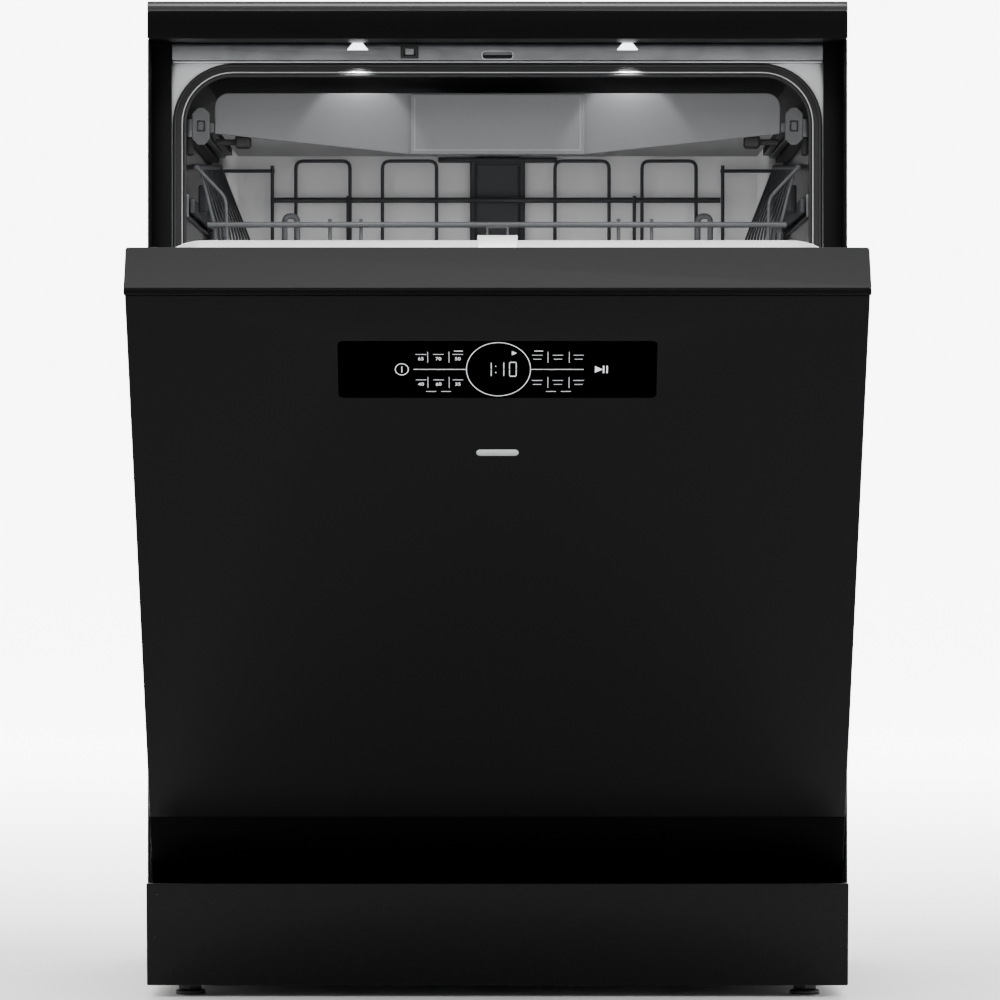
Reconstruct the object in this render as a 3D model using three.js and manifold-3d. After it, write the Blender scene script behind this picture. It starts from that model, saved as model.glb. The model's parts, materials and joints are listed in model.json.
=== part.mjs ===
// A free-standing dishwasher, 598 mm wide, 850 mm high and 600 mm deep with its door closed.
// It stands with its door half open. Millimetres, X to the right, Y to the rear, Z up.
// Inside the cabinet group, Y is counted from the front edges of the side panels.
import * as THREE from 'three';
import { mergeVertices } from 'three/addons/utils/BufferGeometryUtils.js';
import Module from 'manifold-3d';

const wasm = await Module();
wasm.setup();

// ---- Driving dimensions -------------------------------------------------------------------------
const WIDTH = 598;
const HEIGHT = 850;
const REAR = 578;
const GAP = 0.3; // left between pieces that touch
const SHEET = 2; // wall of the pressed steel pieces
const WIRE = 4; // side of the coated rack wire

const HALF = WIDTH / 2;
const WORKTOP_BOTTOM = 818;
const PANEL_TOP = WORKTOP_BOTTOM - GAP;

const HINGE_Y = 21;
const HINGE_Z = 153.5;
const DOOR_ANGLE = Math.PI / 4; // how far the door stands open
const DOOR_HALF = 295.2;
const DOOR_FRONT = -43; // all door values are counted from the hinge pin, door upright
const DOOR_BACK = 7.5;
const DOOR_TOP = 660;
const DOOR_BOTTOM = -54.4;
const PAN_BACK = DOOR_BACK + 20;

const TUB_HALF = 270;
const TUB_FRONT = 58;
const TUB_BACK = 560;
const TUB_FLOOR = 170;
const TUB_CEILING = 790;
const LEDGE_TOP = 183.7; // the runners that the lower rack rolls on

const RACK_FRONT = 66;
const RACK_BACK = 528;

// ---- Making and joining solids ------------------------------------------------------------------
const X = new THREE.Vector3(1, 0, 0);
const Y = new THREE.Vector3(0, 1, 0);
const Z = new THREE.Vector3(0, 0, 1);

/** A block between two corners, given as one [low, high] pair for each axis. */
function box([x0, x1], [y0, y1], [z0, z1]) {
  const block = new THREE.BoxGeometry(x1 - x0, y1 - y0, z1 - z0);
  return block.translate((x0 + x1) / 2, (y0 + y1) / 2, (z0 + z1) / 2);
}

/** A shape pushed along an axis. It is drawn in Y,Z for 'x', in X,Z for 'y' and in X,Y for 'z'. */
function prism(axis, shape, [from, to], curveSegments = 6) {
  const block = new THREE.ExtrudeGeometry(shape, {
    depth: to - from,
    bevelEnabled: false,
    curveSegments,
  });
  if (axis === 'x') {
    return block.applyMatrix4(new THREE.Matrix4().makeBasis(Y, Z, X)).translate(from, 0, 0);
  }
  if (axis === 'y') {
    const turn = new THREE.Matrix4().makeBasis(X, Z, Y.clone().negate());
    return block.applyMatrix4(turn).translate(0, to, 0);
  }
  return block.translate(0, 0, from);
}

function polygon(...points) {
  return new THREE.Shape(points.map(([u, v]) => new THREE.Vector2(u, v)));
}

/** A rectangle whose two lower corners and two upper corners have their own radii. */
function roundedRectangle([u0, u1], [v0, v1], lower, upper = lower) {
  const shape = new THREE.Shape();
  shape.absarc(u0 + lower, v0 + lower, lower, Math.PI, 1.5 * Math.PI);
  shape.absarc(u1 - lower, v0 + lower, lower, 1.5 * Math.PI, 2 * Math.PI);
  shape.absarc(u1 - upper, v1 - upper, upper, 0, 0.5 * Math.PI);
  shape.absarc(u0 + upper, v1 - upper, upper, 0.5 * Math.PI, Math.PI);
  return shape;
}

/** A round bar along an axis, centred on the two other coordinates. */
function bar(axis, [u, v], radius, span, sides = 16) {
  const shape = new THREE.Shape();
  shape.absarc(u, v, radius, 0, 2 * Math.PI);
  return prism(axis, shape, span, sides / 2);
}

/** A profile of [radius, height] points turned about an upright axis through [x, y]. */
function turned(profile, [x, y], sides = 20) {
  const points = profile.map(([radius, height]) => new THREE.Vector2(radius, height));
  const body = new THREE.LatheGeometry(points, sides);
  return body.rotateX(Math.PI / 2).translate(x, y, 0);
}

/** Crossed bars in one plane, with the given numbers of gaps between them. */
function grid(axis, [u0, u1], [v0, v1], columns, rows, wire, span) {
  const stepU = (u1 - u0 - wire) / columns;
  const stepV = (v1 - v0 - wire) / rows;
  const bars = [];
  for (let column = 0; column <= columns; column += 1) {
    const left = u0 + column * stepU;
    bars.push(polygon([left, v0], [left + wire, v0], [left + wire, v1], [left, v1]));
  }
  for (let row = 0; row <= rows; row += 1) {
    const low = v0 + row * stepV;
    bars.push(polygon([u0, low], [u1, low], [u1, low + wire], [u0, low + wire]));
  }
  return join(...bars.map((outline) => prism(axis, outline, span)));
}

/** Keeps only the merged positions, with the faces pointing outwards. */
function cleaned(geometry) {
  const bare = geometry.clone();
  bare.deleteAttribute('normal');
  bare.deleteAttribute('uv');
  const merged = mergeVertices(bare, 1e-4);
  const corners = merged.index.array;
  const at = merged.attributes.position;
  const [a, b, c] = [new THREE.Vector3(), new THREE.Vector3(), new THREE.Vector3()];
  const kept = [];
  let volume = 0;
  for (let i = 0; i < corners.length; i += 3) {
    const [p, q, r] = corners.slice(i, i + 3);
    if (p !== q && q !== r && r !== p) {
      kept.push(p, q, r);
      a.fromBufferAttribute(at, p);
      b.fromBufferAttribute(at, q);
      c.fromBufferAttribute(at, r);
      volume += a.dot(b.cross(c));
    }
  }
  if (volume < 0) kept.reverse();
  merged.setIndex(kept);
  return merged;
}

function toSolid(geometry) {
  const { attributes, index } = cleaned(geometry);
  return new wasm.Manifold(new wasm.Mesh({
    numProp: 3,
    vertProperties: new Float32Array(attributes.position.array),
    triVerts: new Uint32Array(index.array),
  }));
}

function fromSolid(solid) {
  const { vertProperties, triVerts } = solid.getMesh();
  const geometry = new THREE.BufferGeometry();
  geometry.setAttribute('position', new THREE.BufferAttribute(vertProperties, 3));
  geometry.setIndex(new THREE.BufferAttribute(triVerts, 1));
  return geometry;
}

function join(...geometries) {
  return fromSolid(geometries.map(toSolid).reduce((whole, piece) => whole.add(piece)));
}

function cut(base, ...tools) {
  return fromSolid(tools.map(toSolid).reduce((whole, tool) => whole.subtract(tool), toSolid(base)));
}

/** The same geometry on the other side of the middle plane. */
function mirrored(geometry) {
  return cleaned(geometry.clone().scale(-1, 1, 1));
}

// ---- Finishes: colour, roughness, metalness -----------------------------------------------------
const FINISHES = {
  blackPaint: [0x121214, 0.5, 0.2],
  blackGlass: [0x0a0a0c, 0.08, 0.0],
  darkPlastic: [0x45474a, 0.6, 0.0],
  blackPlastic: [0x17181a, 0.6, 0.0],
  greyPlastic: [0x8f9294, 0.55, 0.0],
  lightPlastic: [0xb4b7b8, 0.5, 0.0],
  whitePlastic: [0xe6e7e6, 0.5, 0.0],
  stainless: [0xb9bbbd, 0.3, 1.0],
  zincSteel: [0x9a9da0, 0.45, 0.9],
  rubber: [0x1b1c1d, 0.8, 0.0],
  coatedWire: [0x7b8083, 0.5, 0.0],
  lens: [0xf4f6fa, 0.2, 0.0],
};

const machine = new THREE.Group();

const cabinet = new THREE.Group();
const doorReach = HINGE_Y + DOOR_FRONT * Math.cos(DOOR_ANGLE) - DOOR_TOP * Math.sin(DOOR_ANGLE);
cabinet.position.y = -(REAR + doorReach) / 2; // the origin lies midway between door edge and rear
machine.add(cabinet);

function piece(name, geometry, finish, parent = cabinet) {
  const [color, roughness, metalness] = FINISHES[finish];
  const material = new THREE.MeshStandardMaterial({ color, roughness, metalness });
  const mesh = new THREE.Mesh(cleaned(geometry), material);
  mesh.name = name;
  parent.add(mesh);
  return mesh;
}

/** The same piece on both sides; the geometry is the right-hand one. */
function pair(name, geometry, finish, parent = cabinet) {
  piece(`${name}_right`, geometry, finish, parent);
  piece(`${name}_left`, mirrored(geometry), finish, parent);
}

// ---- Casing -------------------------------------------------------------------------------------
const WORKTOP_HALF = 298.8;
const WORKTOP_FRONT = -12;
const WORKTOP_EDGE = 6;
const WORKTOP_REAR = REAR - 3;

const worktopSection = new THREE.Shape();
worktopSection.moveTo(WORKTOP_FRONT, WORKTOP_BOTTOM);
worktopSection.lineTo(WORKTOP_REAR, WORKTOP_BOTTOM);
worktopSection.lineTo(WORKTOP_REAR, HEIGHT);
worktopSection.absarc(
  WORKTOP_FRONT + WORKTOP_EDGE,
  HEIGHT - WORKTOP_EDGE,
  WORKTOP_EDGE,
  Math.PI / 2,
  Math.PI,
);
piece('worktop', prism('x', worktopSection, [-WORKTOP_HALF, WORKTOP_HALF]), 'blackPaint');

const RETURN_INNER = 279; // the black strip beside the door opening
const RETURN_FRONT = 46;
const SIDE_BOTTOM = 14;
const SWING_TOP = 166; // the door's foot swings below this height
pair('side_panel', join(
  box([HALF - SHEET, HALF], [0, REAR - 2], [SIDE_BOTTOM, PANEL_TOP]),
  box(
    [RETURN_INNER, HALF - SHEET / 2],
    [RETURN_FRONT, RETURN_FRONT + SHEET],
    [SWING_TOP, PANEL_TOP],
  ),
), 'blackPaint');

const REAR_PANEL_BOTTOM = 152;
piece('rear_panel', box(
  [GAP - HALF, HALF - GAP],
  [REAR - SHEET + GAP, REAR],
  [REAR_PANEL_BOTTOM, PANEL_TOP],
), 'zincSteel');

const FOOT_X = 263.6;
const FOOT_YS = { front: 30, rear: 530 };
const STUD_RADIUS = 5;
const BASE_HALF = 294;
const BASE_FRONT = -5;
const BASE_REAR = 574;
const BASE_BOTTOM = 12;
const BASE_WALL = 3;
const BASE_FLOOR = BASE_BOTTOM + BASE_WALL;
const BASE_TOP = 150;
const SWING_ROOM = { rear: 82, low: 78 }; // the base is lower where the door's foot swings
const SERVICE_GAP = { half: 250, low: 30 }; // opening for the hoses in the base's rear wall
const studHoles = [];
for (const y of Object.values(FOOT_YS)) {
  for (const side of [-1, 1]) {
    studHoles.push(bar('z', [side * FOOT_X, y], STUD_RADIUS + 0.4, [0, 30]));
  }
}
piece('base_tray', cut(
  box([-BASE_HALF, BASE_HALF], [BASE_FRONT, BASE_REAR], [BASE_BOTTOM, BASE_TOP]),
  box(
    [BASE_WALL - BASE_HALF, BASE_HALF - BASE_WALL],
    [BASE_FRONT + BASE_WALL, BASE_REAR - BASE_WALL],
    [BASE_FLOOR, HEIGHT],
  ),
  box([-HALF, HALF], [BASE_FRONT - 1, SWING_ROOM.rear], [SWING_ROOM.low, HEIGHT]),
  box(
    [-SERVICE_GAP.half, SERVICE_GAP.half],
    [BASE_REAR - 2 * BASE_WALL, REAR],
    [SERVICE_GAP.low, HEIGHT],
  ),
  ...studHoles,
), 'blackPlastic');

const PAD = { radius: 13, top: 4 };
const NUT = { radius: 11, top: BASE_BOTTOM - 0.5 };
const STUD_TOP = 42;
for (const [place, y] of Object.entries(FOOT_YS)) {
  const foot = join(
    bar('z', [FOOT_X, y], PAD.radius, [0, PAD.top]),
    bar('z', [FOOT_X, y], NUT.radius, [PAD.top - 0.5, NUT.top], 6),
    bar('z', [FOOT_X, y], STUD_RADIUS, [NUT.top - 0.5, STUD_TOP]),
  );
  pair(`foot_${place}`, foot, 'darkPlastic');
}

const PLINTH_TOP = [-27.5, 98];
const PLINTH_BOTTOM = [-13, 10];
const PLINTH_WALL = 5;
piece('plinth', prism('x', polygon(
  PLINTH_BOTTOM,
  [PLINTH_BOTTOM[0] + PLINTH_WALL, PLINTH_BOTTOM[1]],
  [PLINTH_TOP[0] + PLINTH_WALL, PLINTH_TOP[1]],
  PLINTH_TOP,
), [-HALF, HALF]), 'blackPaint');

// ---- Tub, its gasket and the rail above the door opening ------------------------------------------
const FLANGE_HALF = 292;
const FLANGE_TOP = 799.5;
const SUMP = { x: [-58, 118], y: [232, 368] };
const SALT = [165, 470];
const FILTER = [75, 280];
const ARM_CENTRE = [0, 310];

const TUB_CORNER = { lower: 8, upper: 44 };
const tubOutline = (wall) => roundedRectangle(
  [-TUB_HALF - wall, TUB_HALF + wall],
  [TUB_FLOOR - wall, TUB_CEILING + wall],
  TUB_CORNER.lower + wall,
  TUB_CORNER.upper + wall,
);
const FLOOR_CUT = [TUB_FLOOR - 10, TUB_FLOOR + 10];
const SALT_MOUTH = 30;
const tubShell = cut(
  join(
    prism('y', tubOutline(SHEET), [TUB_FRONT, TUB_BACK + SHEET]),
    box([-FLANGE_HALF, FLANGE_HALF], [TUB_FRONT, TUB_FRONT + SHEET], [SWING_TOP, FLANGE_TOP]),
  ),
  prism('y', tubOutline(0), [0, TUB_BACK]),
  box(SUMP.x, SUMP.y, FLOOR_CUT),
  bar('z', SALT, SALT_MOUTH, FLOOR_CUT),
);
const LEDGE_INNER = 228;
const UPPER_RAIL = { inner: 266.2, z: [668, 688] };
const RAIL_YS = [TUB_FRONT + 6, TUB_BACK - 4];
const ledge = box([LEDGE_INNER, TUB_HALF + 0.5], RAIL_YS, [TUB_FLOOR - 0.5, LEDGE_TOP]);
const upperRail = box([UPPER_RAIL.inner, TUB_HALF + 0.5], RAIL_YS, UPPER_RAIL.z);
piece('tub', join(
  tubShell,
  ledge,
  mirrored(ledge),
  upperRail,
  mirrored(upperRail),
), 'stainless');

const GASKET_FRONT = 49.4;
const GASKET_FOOT = 172;
const GASKET_OUTER = { half: 277, top: 797.6, radius: 50 };
const GASKET_INNER = { half: 267.6, top: 787.4, radius: 41 };
const gasketSection = new THREE.Shape();
for (const [{ half, top, radius }, turn] of [[GASKET_OUTER, 1], [GASKET_INNER, -1]]) {
  const [start, end] = [Math.PI * (turn > 0 ? 0 : 1), Math.PI * (turn > 0 ? 1 : 0)];
  const clockwise = turn < 0;
  if (turn > 0) gasketSection.moveTo(half, GASKET_FOOT);
  else gasketSection.lineTo(-half, GASKET_FOOT);
  gasketSection.absarc(turn * (half - radius), top - radius, radius, start, Math.PI / 2, clockwise);
  gasketSection.absarc(turn * (radius - half), top - radius, radius, Math.PI / 2, end, clockwise);
  gasketSection.lineTo(-turn * half, GASKET_FOOT);
}
piece('tub_gasket', prism('y', gasketSection, [GASKET_FRONT, TUB_FRONT - GAP]), 'rubber');

const RAIL_FRONT = 49.6;
const RAIL_BACK = 56;
const SLOT = { x: [-13, 13], z: [801.8, 807.6] };
const SENSOR = { x: [-83, -68], z: [803, 813] };
const LED_XS = { left: -120.5, right: 112 };
const LED = { lowHalf: 9, topHalf: 5.5, low: 808.6 };
const CLIP_GAP = 0.4; // round the sensor and the lenses, which are clipped into the rail
const ledSection = (x, grow) => polygon(
  [x - LED.lowHalf - grow, LED.low - grow],
  [x + LED.lowHalf + grow, LED.low - grow],
  [x + LED.topHalf + grow, PANEL_TOP],
  [x - LED.topHalf - grow, PANEL_TOP],
);
const RAIL_BOTTOM = 800;
const railSection = polygon(
  [RAIL_BACK, RAIL_BOTTOM],
  [RAIL_BACK, PANEL_TOP],
  [RAIL_FRONT + 3, PANEL_TOP],
  [RAIL_FRONT, PANEL_TOP - 4.7],
  [RAIL_FRONT, RAIL_BOTTOM + 3],
  [RAIL_FRONT + 1.4, RAIL_BOTTOM],
);
const RAIL_CUT = [RAIL_FRONT - 1, RAIL_BACK + 1];
piece('top_cross_rail', cut(
  prism('x', railSection, [CLIP_GAP - RETURN_INNER, RETURN_INNER - CLIP_GAP]),
  prism('y', roundedRectangle(SLOT.x, SLOT.z, 2.6), RAIL_CUT, 3),
  box(
    [SENSOR.x[0] - CLIP_GAP, SENSOR.x[1] + CLIP_GAP],
    RAIL_CUT,
    [SENSOR.z[0] - CLIP_GAP, SENSOR.z[1] + CLIP_GAP],
  ),
  prism('y', ledSection(LED_XS.left, CLIP_GAP), RAIL_CUT),
  prism('y', ledSection(LED_XS.right, CLIP_GAP), RAIL_CUT),
), 'zincSteel');

piece('door_sensor', box(SENSOR.x, [RAIL_FRONT, RAIL_BACK], SENSOR.z), 'blackPlastic');
for (const [side, x] of Object.entries(LED_XS)) {
  piece(`led_lens_${side}`, prism('y', ledSection(x, 0), [RAIL_FRONT + 1, RAIL_BACK]), 'lens');
}
const CATCH = { x: [-20, 20], y: [RAIL_BACK + GAP, 76], z: [RAIL_BOTTOM, 813] };
piece('latch_catch', cut(
  box(CATCH.x, CATCH.y, CATCH.z),
  box(SLOT.x, [RAIL_FRONT, CATCH.y[1] - 4], SLOT.z),
), 'blackPlastic');

// ---- Sump, pumps and water parts -------------------------------------------------------------------
const SUMP_WALL = 4;
const SUMP_BOTTOM = 60;
const SUMP_TOP = TUB_FLOOR - SHEET - GAP;
const ARM_POST = { radius: 13, top: 188 };
const [sumpX, sumpY] = [SUMP.x, SUMP.y].map(([low, high]) => [low - SUMP_WALL, high + SUMP_WALL]);
piece('sump', join(
  cut(
    box(sumpX, sumpY, [SUMP_BOTTOM, SUMP_TOP]),
    box(SUMP.x, SUMP.y, [SUMP_BOTTOM + SUMP_WALL, HEIGHT]),
  ),
  bar('z', ARM_CENTRE, ARM_POST.radius, [SUMP_BOTTOM + 2, ARM_POST.top]),
), 'blackPlastic');

/** A motor or pump body turned about an axis along X, from its inner end outwards. */
function lyingTurned(profile, [x, y, z], direction) {
  const upright = turned(profile, [0, 0], 16);
  return upright.rotateY((direction * Math.PI) / 2).translate(x, y, z);
}

// Each pump's profile runs from the neck at the sump, over the volute, to the end of its motor.
const CIRCULATION = [
  [0, 0], [14, 0], [14, 18], [52, 22], [52, 58], [40, 62], [40, 140], [12, 146], [0, 146],
];
const DRAIN = [[0, 0], [12, 0], [12, 10], [28, 12], [28, 34], [20, 36], [20, 74], [0, 74]];
const CIRCULATION_AXIS = { y: 300, z: 100 };
const DRAIN_AXIS = { y: 262, z: 92 };
piece('circulation_pump', lyingTurned(
  CIRCULATION,
  [sumpX[0] - GAP, CIRCULATION_AXIS.y, CIRCULATION_AXIS.z],
  -1,
), 'greyPlastic');
piece('drain_pump', lyingTurned(
  DRAIN,
  [sumpX[1] + GAP, DRAIN_AXIS.y, DRAIN_AXIS.z],
  1,
), 'greyPlastic');

const SOFTENER = { x: [98, 248], y: [392, 552], z: [BASE_FLOOR + 1, 142] };
const SALT_NECK = 27;
piece('water_softener', join(
  box(SOFTENER.x, SOFTENER.y, SOFTENER.z),
  bar('z', SALT, SALT_NECK, [SOFTENER.z[1] - 2, SUMP_TOP], 20),
), 'whitePlastic');

/** A block in the base with a round stub that ends at the rear of the machine. */
function rearInlet({ x, y, z, stub }) {
  const axis = [(x[0] + x[1]) / 2, (z[0] + z[1]) / 2];
  return join(box(x, y, z), bar('y', axis, stub, [y[1] - 2, REAR - 1]));
}

const VALVE = { x: [-245, -185], y: [520, 560], z: [40, 88], stub: 10 };
const MAINS_GLAND = { x: [-150, -115], y: [530, 562], z: [40, 66], stub: 8 };
piece('inlet_valve', rearInlet(VALVE), 'whitePlastic');
piece('power_inlet', rearInlet(MAINS_GLAND), 'blackPlastic');

const DUCT_TOP = 741;
const DUCT_BACK = TUB_BACK - 1;
const CEILING_PIPE = [TUB_CEILING - 3.4, TUB_CEILING - 0.4];
const RISER = { half: 25.4, front: 535 };
const DUCT_HEAD = { half: 55, front: 533, height: 4 };
const DUCT_NECK = { half: 20, front: 548 };
const PIPE_HALF = 12;
piece('water_duct', join(
  box([-RISER.half, RISER.half], [RISER.front, DUCT_BACK], [TUB_FLOOR + 3, DUCT_TOP - 2]),
  box(
    [-DUCT_HEAD.half, DUCT_HEAD.half],
    [DUCT_HEAD.front, DUCT_BACK],
    [DUCT_TOP - DUCT_HEAD.height, DUCT_TOP],
  ),
  box(
    [-DUCT_NECK.half, DUCT_NECK.half],
    [DUCT_NECK.front, DUCT_BACK],
    [DUCT_TOP - 2, CEILING_PIPE[1]],
  ),
  box([-PIPE_HALF, PIPE_HALF], [ARM_CENTRE[1] - PIPE_HALF, DUCT_BACK], CEILING_PIPE),
), 'darkPlastic');

/** A round cap or cylinder with a straight grip across its top. */
function gripped([x, y], radius, [low, high], grip) {
  return join(
    bar('z', [x, y], radius, [low, high], 24),
    box(
      [x - grip.half, x + grip.half],
      [y - grip.thick / 2, y + grip.thick / 2],
      [high - 1, grip.top],
    ),
  );
}

const FILTER_RADIUS = 34;
const GRIP_TOP = 183;
const PLATE = { x: [-75, 135], y: [215, 385], corner: 20, thick: 2 };
piece('filter_plate', cut(
  prism('z', roundedRectangle(PLATE.x, PLATE.y, PLATE.corner), [
    TUB_FLOOR + GAP,
    TUB_FLOOR + GAP + PLATE.thick,
  ]),
  bar('z', ARM_CENTRE, ARM_POST.radius + 1, FLOOR_CUT),
  bar('z', FILTER, FILTER_RADIUS + 1.5, FLOOR_CUT, 24),
), 'stainless');
piece('filter_cylinder', gripped(FILTER, FILTER_RADIUS, [96, 176], {
  half: 22, thick: 6, top: GRIP_TOP,
}), 'greyPlastic');
piece('salt_cap', gripped(SALT, 33, [TUB_FLOOR + 0.5, 177], {
  half: 24, thick: 8, top: GRIP_TOP,
}), 'darkPlastic');

const ARM_TURN = 0.3; // the arms rest a little askew
const ARM_WIDTH = { hub: 20, tip: 12 }; // half of an arm's width at its middle and at its ends

/** A two-armed spray arm about an upright axis, its arms tapered in plan. */
function sprayArm([x, y], { reach, blade, hubRadius, hub }) {
  const { hub: wide, tip } = ARM_WIDTH;
  const arms = prism('z', polygon(
    [-reach, -tip], [0, -wide], [reach, -tip], [reach, tip], [0, wide], [-reach, tip],
  ), blade);
  return join(
    arms.rotateZ(ARM_TURN).translate(x, y, 0),
    bar('z', [x, y], hubRadius, hub),
  );
}

const LOWER_ARM = { reach: 212, blade: [195, 204], hubRadius: 24, hub: [188.3, 207] };
const CEILING_ARM = { reach: 95, blade: [779, 783], hubRadius: 16, hub: [778, 786.3] };
piece('lower_spray_arm', sprayArm(ARM_CENTRE, LOWER_ARM), 'darkPlastic');
piece('ceiling_spray_arm', sprayArm(ARM_CENTRE, CEILING_ARM), 'darkPlastic');

// ---- Upper rack with its spray arm -----------------------------------------------------------------
const UPPER_HALF = 262;
const UPPER = { floor: 560, front: 659, side: 711, rear: 701 };
const sideGrid = grid(
  'x',
  [RACK_FRONT, RACK_BACK],
  [UPPER.floor, UPPER.side],
  5,
  2,
  WIRE,
  [UPPER_HALF - WIRE, UPPER_HALF],
);
const RACK_RUNNER = { outer: 265.6, z: [672, 684] };
const upperRunner = box(
  [UPPER_HALF - 1, RACK_RUNNER.outer],
  [RACK_FRONT + 4, RACK_BACK - 4],
  RACK_RUNNER.z,
);
const LOOP_WIDTH = 52;
const LOOP_TOP = 739;
const LOOP_XS = [-161, -81, 78, 158];
const loops = LOOP_XS.map((middle) => grid(
  'y',
  [middle - LOOP_WIDTH / 2, middle + LOOP_WIDTH / 2],
  [UPPER.rear - WIRE, LOOP_TOP],
  1,
  1,
  WIRE,
  [RACK_BACK - WIRE, RACK_BACK],
));
piece('upper_rack', join(
  grid('z', [-UPPER_HALF, UPPER_HALF], [RACK_FRONT, RACK_BACK], 7, 5, WIRE, [
    UPPER.floor,
    UPPER.floor + WIRE,
  ]),
  sideGrid,
  mirrored(sideGrid),
  grid('y', [-UPPER_HALF, UPPER_HALF], [UPPER.floor, UPPER.front], 6, 1, WIRE, [
    RACK_FRONT,
    RACK_FRONT + WIRE,
  ]),
  grid('y', [-UPPER_HALF, UPPER_HALF], [UPPER.floor, UPPER.rear], 6, 2, WIRE, [
    RACK_BACK - WIRE,
    RACK_BACK,
  ]),
  upperRunner,
  mirrored(upperRunner),
  ...loops,
), 'coatedWire');

const UPPER_ARM_CENTRE = [0, 300];
const FEED = { half: 11, y: [288, 531], low: 545.4 };
const UPPER_ARM = { reach: 200, blade: [532, 540], hubRadius: 20, hub: [529, FEED.low - GAP] };
piece('upper_spray_pipe', box(
  [-FEED.half, FEED.half],
  FEED.y,
  [FEED.low, UPPER.floor - GAP],
), 'darkPlastic');
piece('upper_spray_arm', sprayArm(UPPER_ARM_CENTRE, UPPER_ARM), 'darkPlastic');

// ---- Cutlery drawer on its telescopic rails --------------------------------------------------------
const TRAY_HALF = 240;
const TRAY_BACK = 520;
const TRAY = [741.3, 744.3]; // the rack's wire loops pass under it
const BLOCK_HALF = 75;
const DRAWER_TOP = 775;
piece('drawer_tray', box(
  [-TRAY_HALF, TRAY_HALF],
  [RACK_FRONT + GAP, TRAY_BACK],
  TRAY,
), 'coatedWire');

const drawerFace = new THREE.Shape();
const FACE_HALF = 244;
const FACE_CORNER = 12;
const FACE_LOW = { side: 740, middle: 722 };
drawerFace.moveTo(-FACE_HALF, FACE_LOW.side);
drawerFace.lineTo(-BLOCK_HALF, FACE_LOW.middle);
drawerFace.lineTo(BLOCK_HALF, FACE_LOW.middle);
drawerFace.lineTo(FACE_HALF, FACE_LOW.side);
drawerFace.absarc(FACE_HALF - FACE_CORNER, DRAWER_TOP - FACE_CORNER, FACE_CORNER, 0, Math.PI / 2);
drawerFace.absarc(
  FACE_CORNER - FACE_HALF,
  DRAWER_TOP - FACE_CORNER,
  FACE_CORNER,
  Math.PI / 2,
  Math.PI,
);
piece('drawer_front', join(
  prism('y', drawerFace, [RACK_FRONT - 5, RACK_FRONT]),
  box(
    [-BLOCK_HALF, BLOCK_HALF],
    [RACK_FRONT - 8, RACK_FRONT - 4],
    [FACE_LOW.middle, DRAWER_TOP - 1],
  ),
), 'lightPlastic');

const RIM_TOP = 760;
piece('drawer_rim', cut(
  box([-FACE_HALF, FACE_HALF], [RACK_FRONT + GAP, TRAY_BACK + WIRE], [TRAY[1] + GAP, RIM_TOP]),
  box([-TRAY_HALF, TRAY_HALF], [0, TRAY_BACK], [0, HEIGHT]),
), 'coatedWire');

// The three parts of each telescopic rail, from the drawer outwards, and the cap at its front end.
const RUNNER = { x: [FACE_HALF + GAP, 250.6], y: [57, 500], z: [741, 749] };
const SLIDE = { x: [251, 257.4], y: [62, 530], z: [740, 750] };
const FIXED_RAIL = { x: [257.8, TUB_HALF - 1.2], y: [63, 550], z: [737, 753] };
const CAP_YS = [52, 59];
const capSection = polygon(
  [248, 737], [252, 730], [259, 730], [263, 737], [263, 755], [259, 762], [252, 762], [248, 755],
);
pair('drawer_runner', join(
  box(RUNNER.x, RUNNER.y, RUNNER.z),
  prism('y', capSection, CAP_YS),
), 'greyPlastic');
pair('drawer_slide', box(SLIDE.x, SLIDE.y, SLIDE.z), 'zincSteel');
pair('drawer_rail', box(FIXED_RAIL.x, FIXED_RAIL.y, FIXED_RAIL.z), 'zincSteel');

// ---- Lower rack --------------------------------------------------------------------------------------
const LOWER_HALF = 240;
const LOWER = { floor: 214, front: 330, side: 380, rear: 380 };
const WHEEL_RADIUS = 16;
const WHEEL_Z = LEDGE_TOP + 0.5 + WHEEL_RADIUS;
const WHEEL_YS = { front: 130, rear: 470 };
const WHEEL_XS = [243, 254];
const AXLE_RADIUS = 4;
const AXLE_END = 257;
const lowerSide = grid(
  'x',
  [RACK_FRONT, RACK_BACK],
  [LOWER.floor, LOWER.side],
  5,
  2,
  WIRE,
  [LOWER_HALF - WIRE, LOWER_HALF],
);
const axles = Object.values(WHEEL_YS).flatMap((y) => [
  box([LOWER_HALF - WIRE, LOWER_HALF], [y - 8, y + 8], [WHEEL_Z - 6, LOWER.floor + 2]),
  bar('x', [y, WHEEL_Z], AXLE_RADIUS, [LOWER_HALF - 1, AXLE_END], 12),
]);
piece('lower_rack', join(
  grid('z', [-LOWER_HALF, LOWER_HALF], [RACK_FRONT, RACK_BACK], 6, 5, WIRE, [
    LOWER.floor,
    LOWER.floor + WIRE,
  ]),
  lowerSide,
  mirrored(lowerSide),
  grid('y', [-LOWER_HALF, LOWER_HALF], [LOWER.floor, LOWER.front], 6, 2, WIRE, [
    RACK_FRONT,
    RACK_FRONT + WIRE,
  ]),
  grid('y', [-LOWER_HALF, LOWER_HALF], [LOWER.floor, LOWER.rear], 6, 2, WIRE, [
    RACK_BACK - WIRE,
    RACK_BACK,
  ]),
  ...axles,
  ...axles.map(mirrored),
), 'coatedWire');

for (const [place, y] of Object.entries(WHEEL_YS)) {
  const wheel = cut(
    bar('x', [y, WHEEL_Z], WHEEL_RADIUS, WHEEL_XS, 20),
    bar('x', [y, WHEEL_Z], AXLE_RADIUS + 0.5, [WHEEL_XS[0] - 1, WHEEL_XS[1] + 1], 12),
  );
  pair(`rack_wheel_${place}`, wheel, 'greyPlastic');
}

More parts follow.
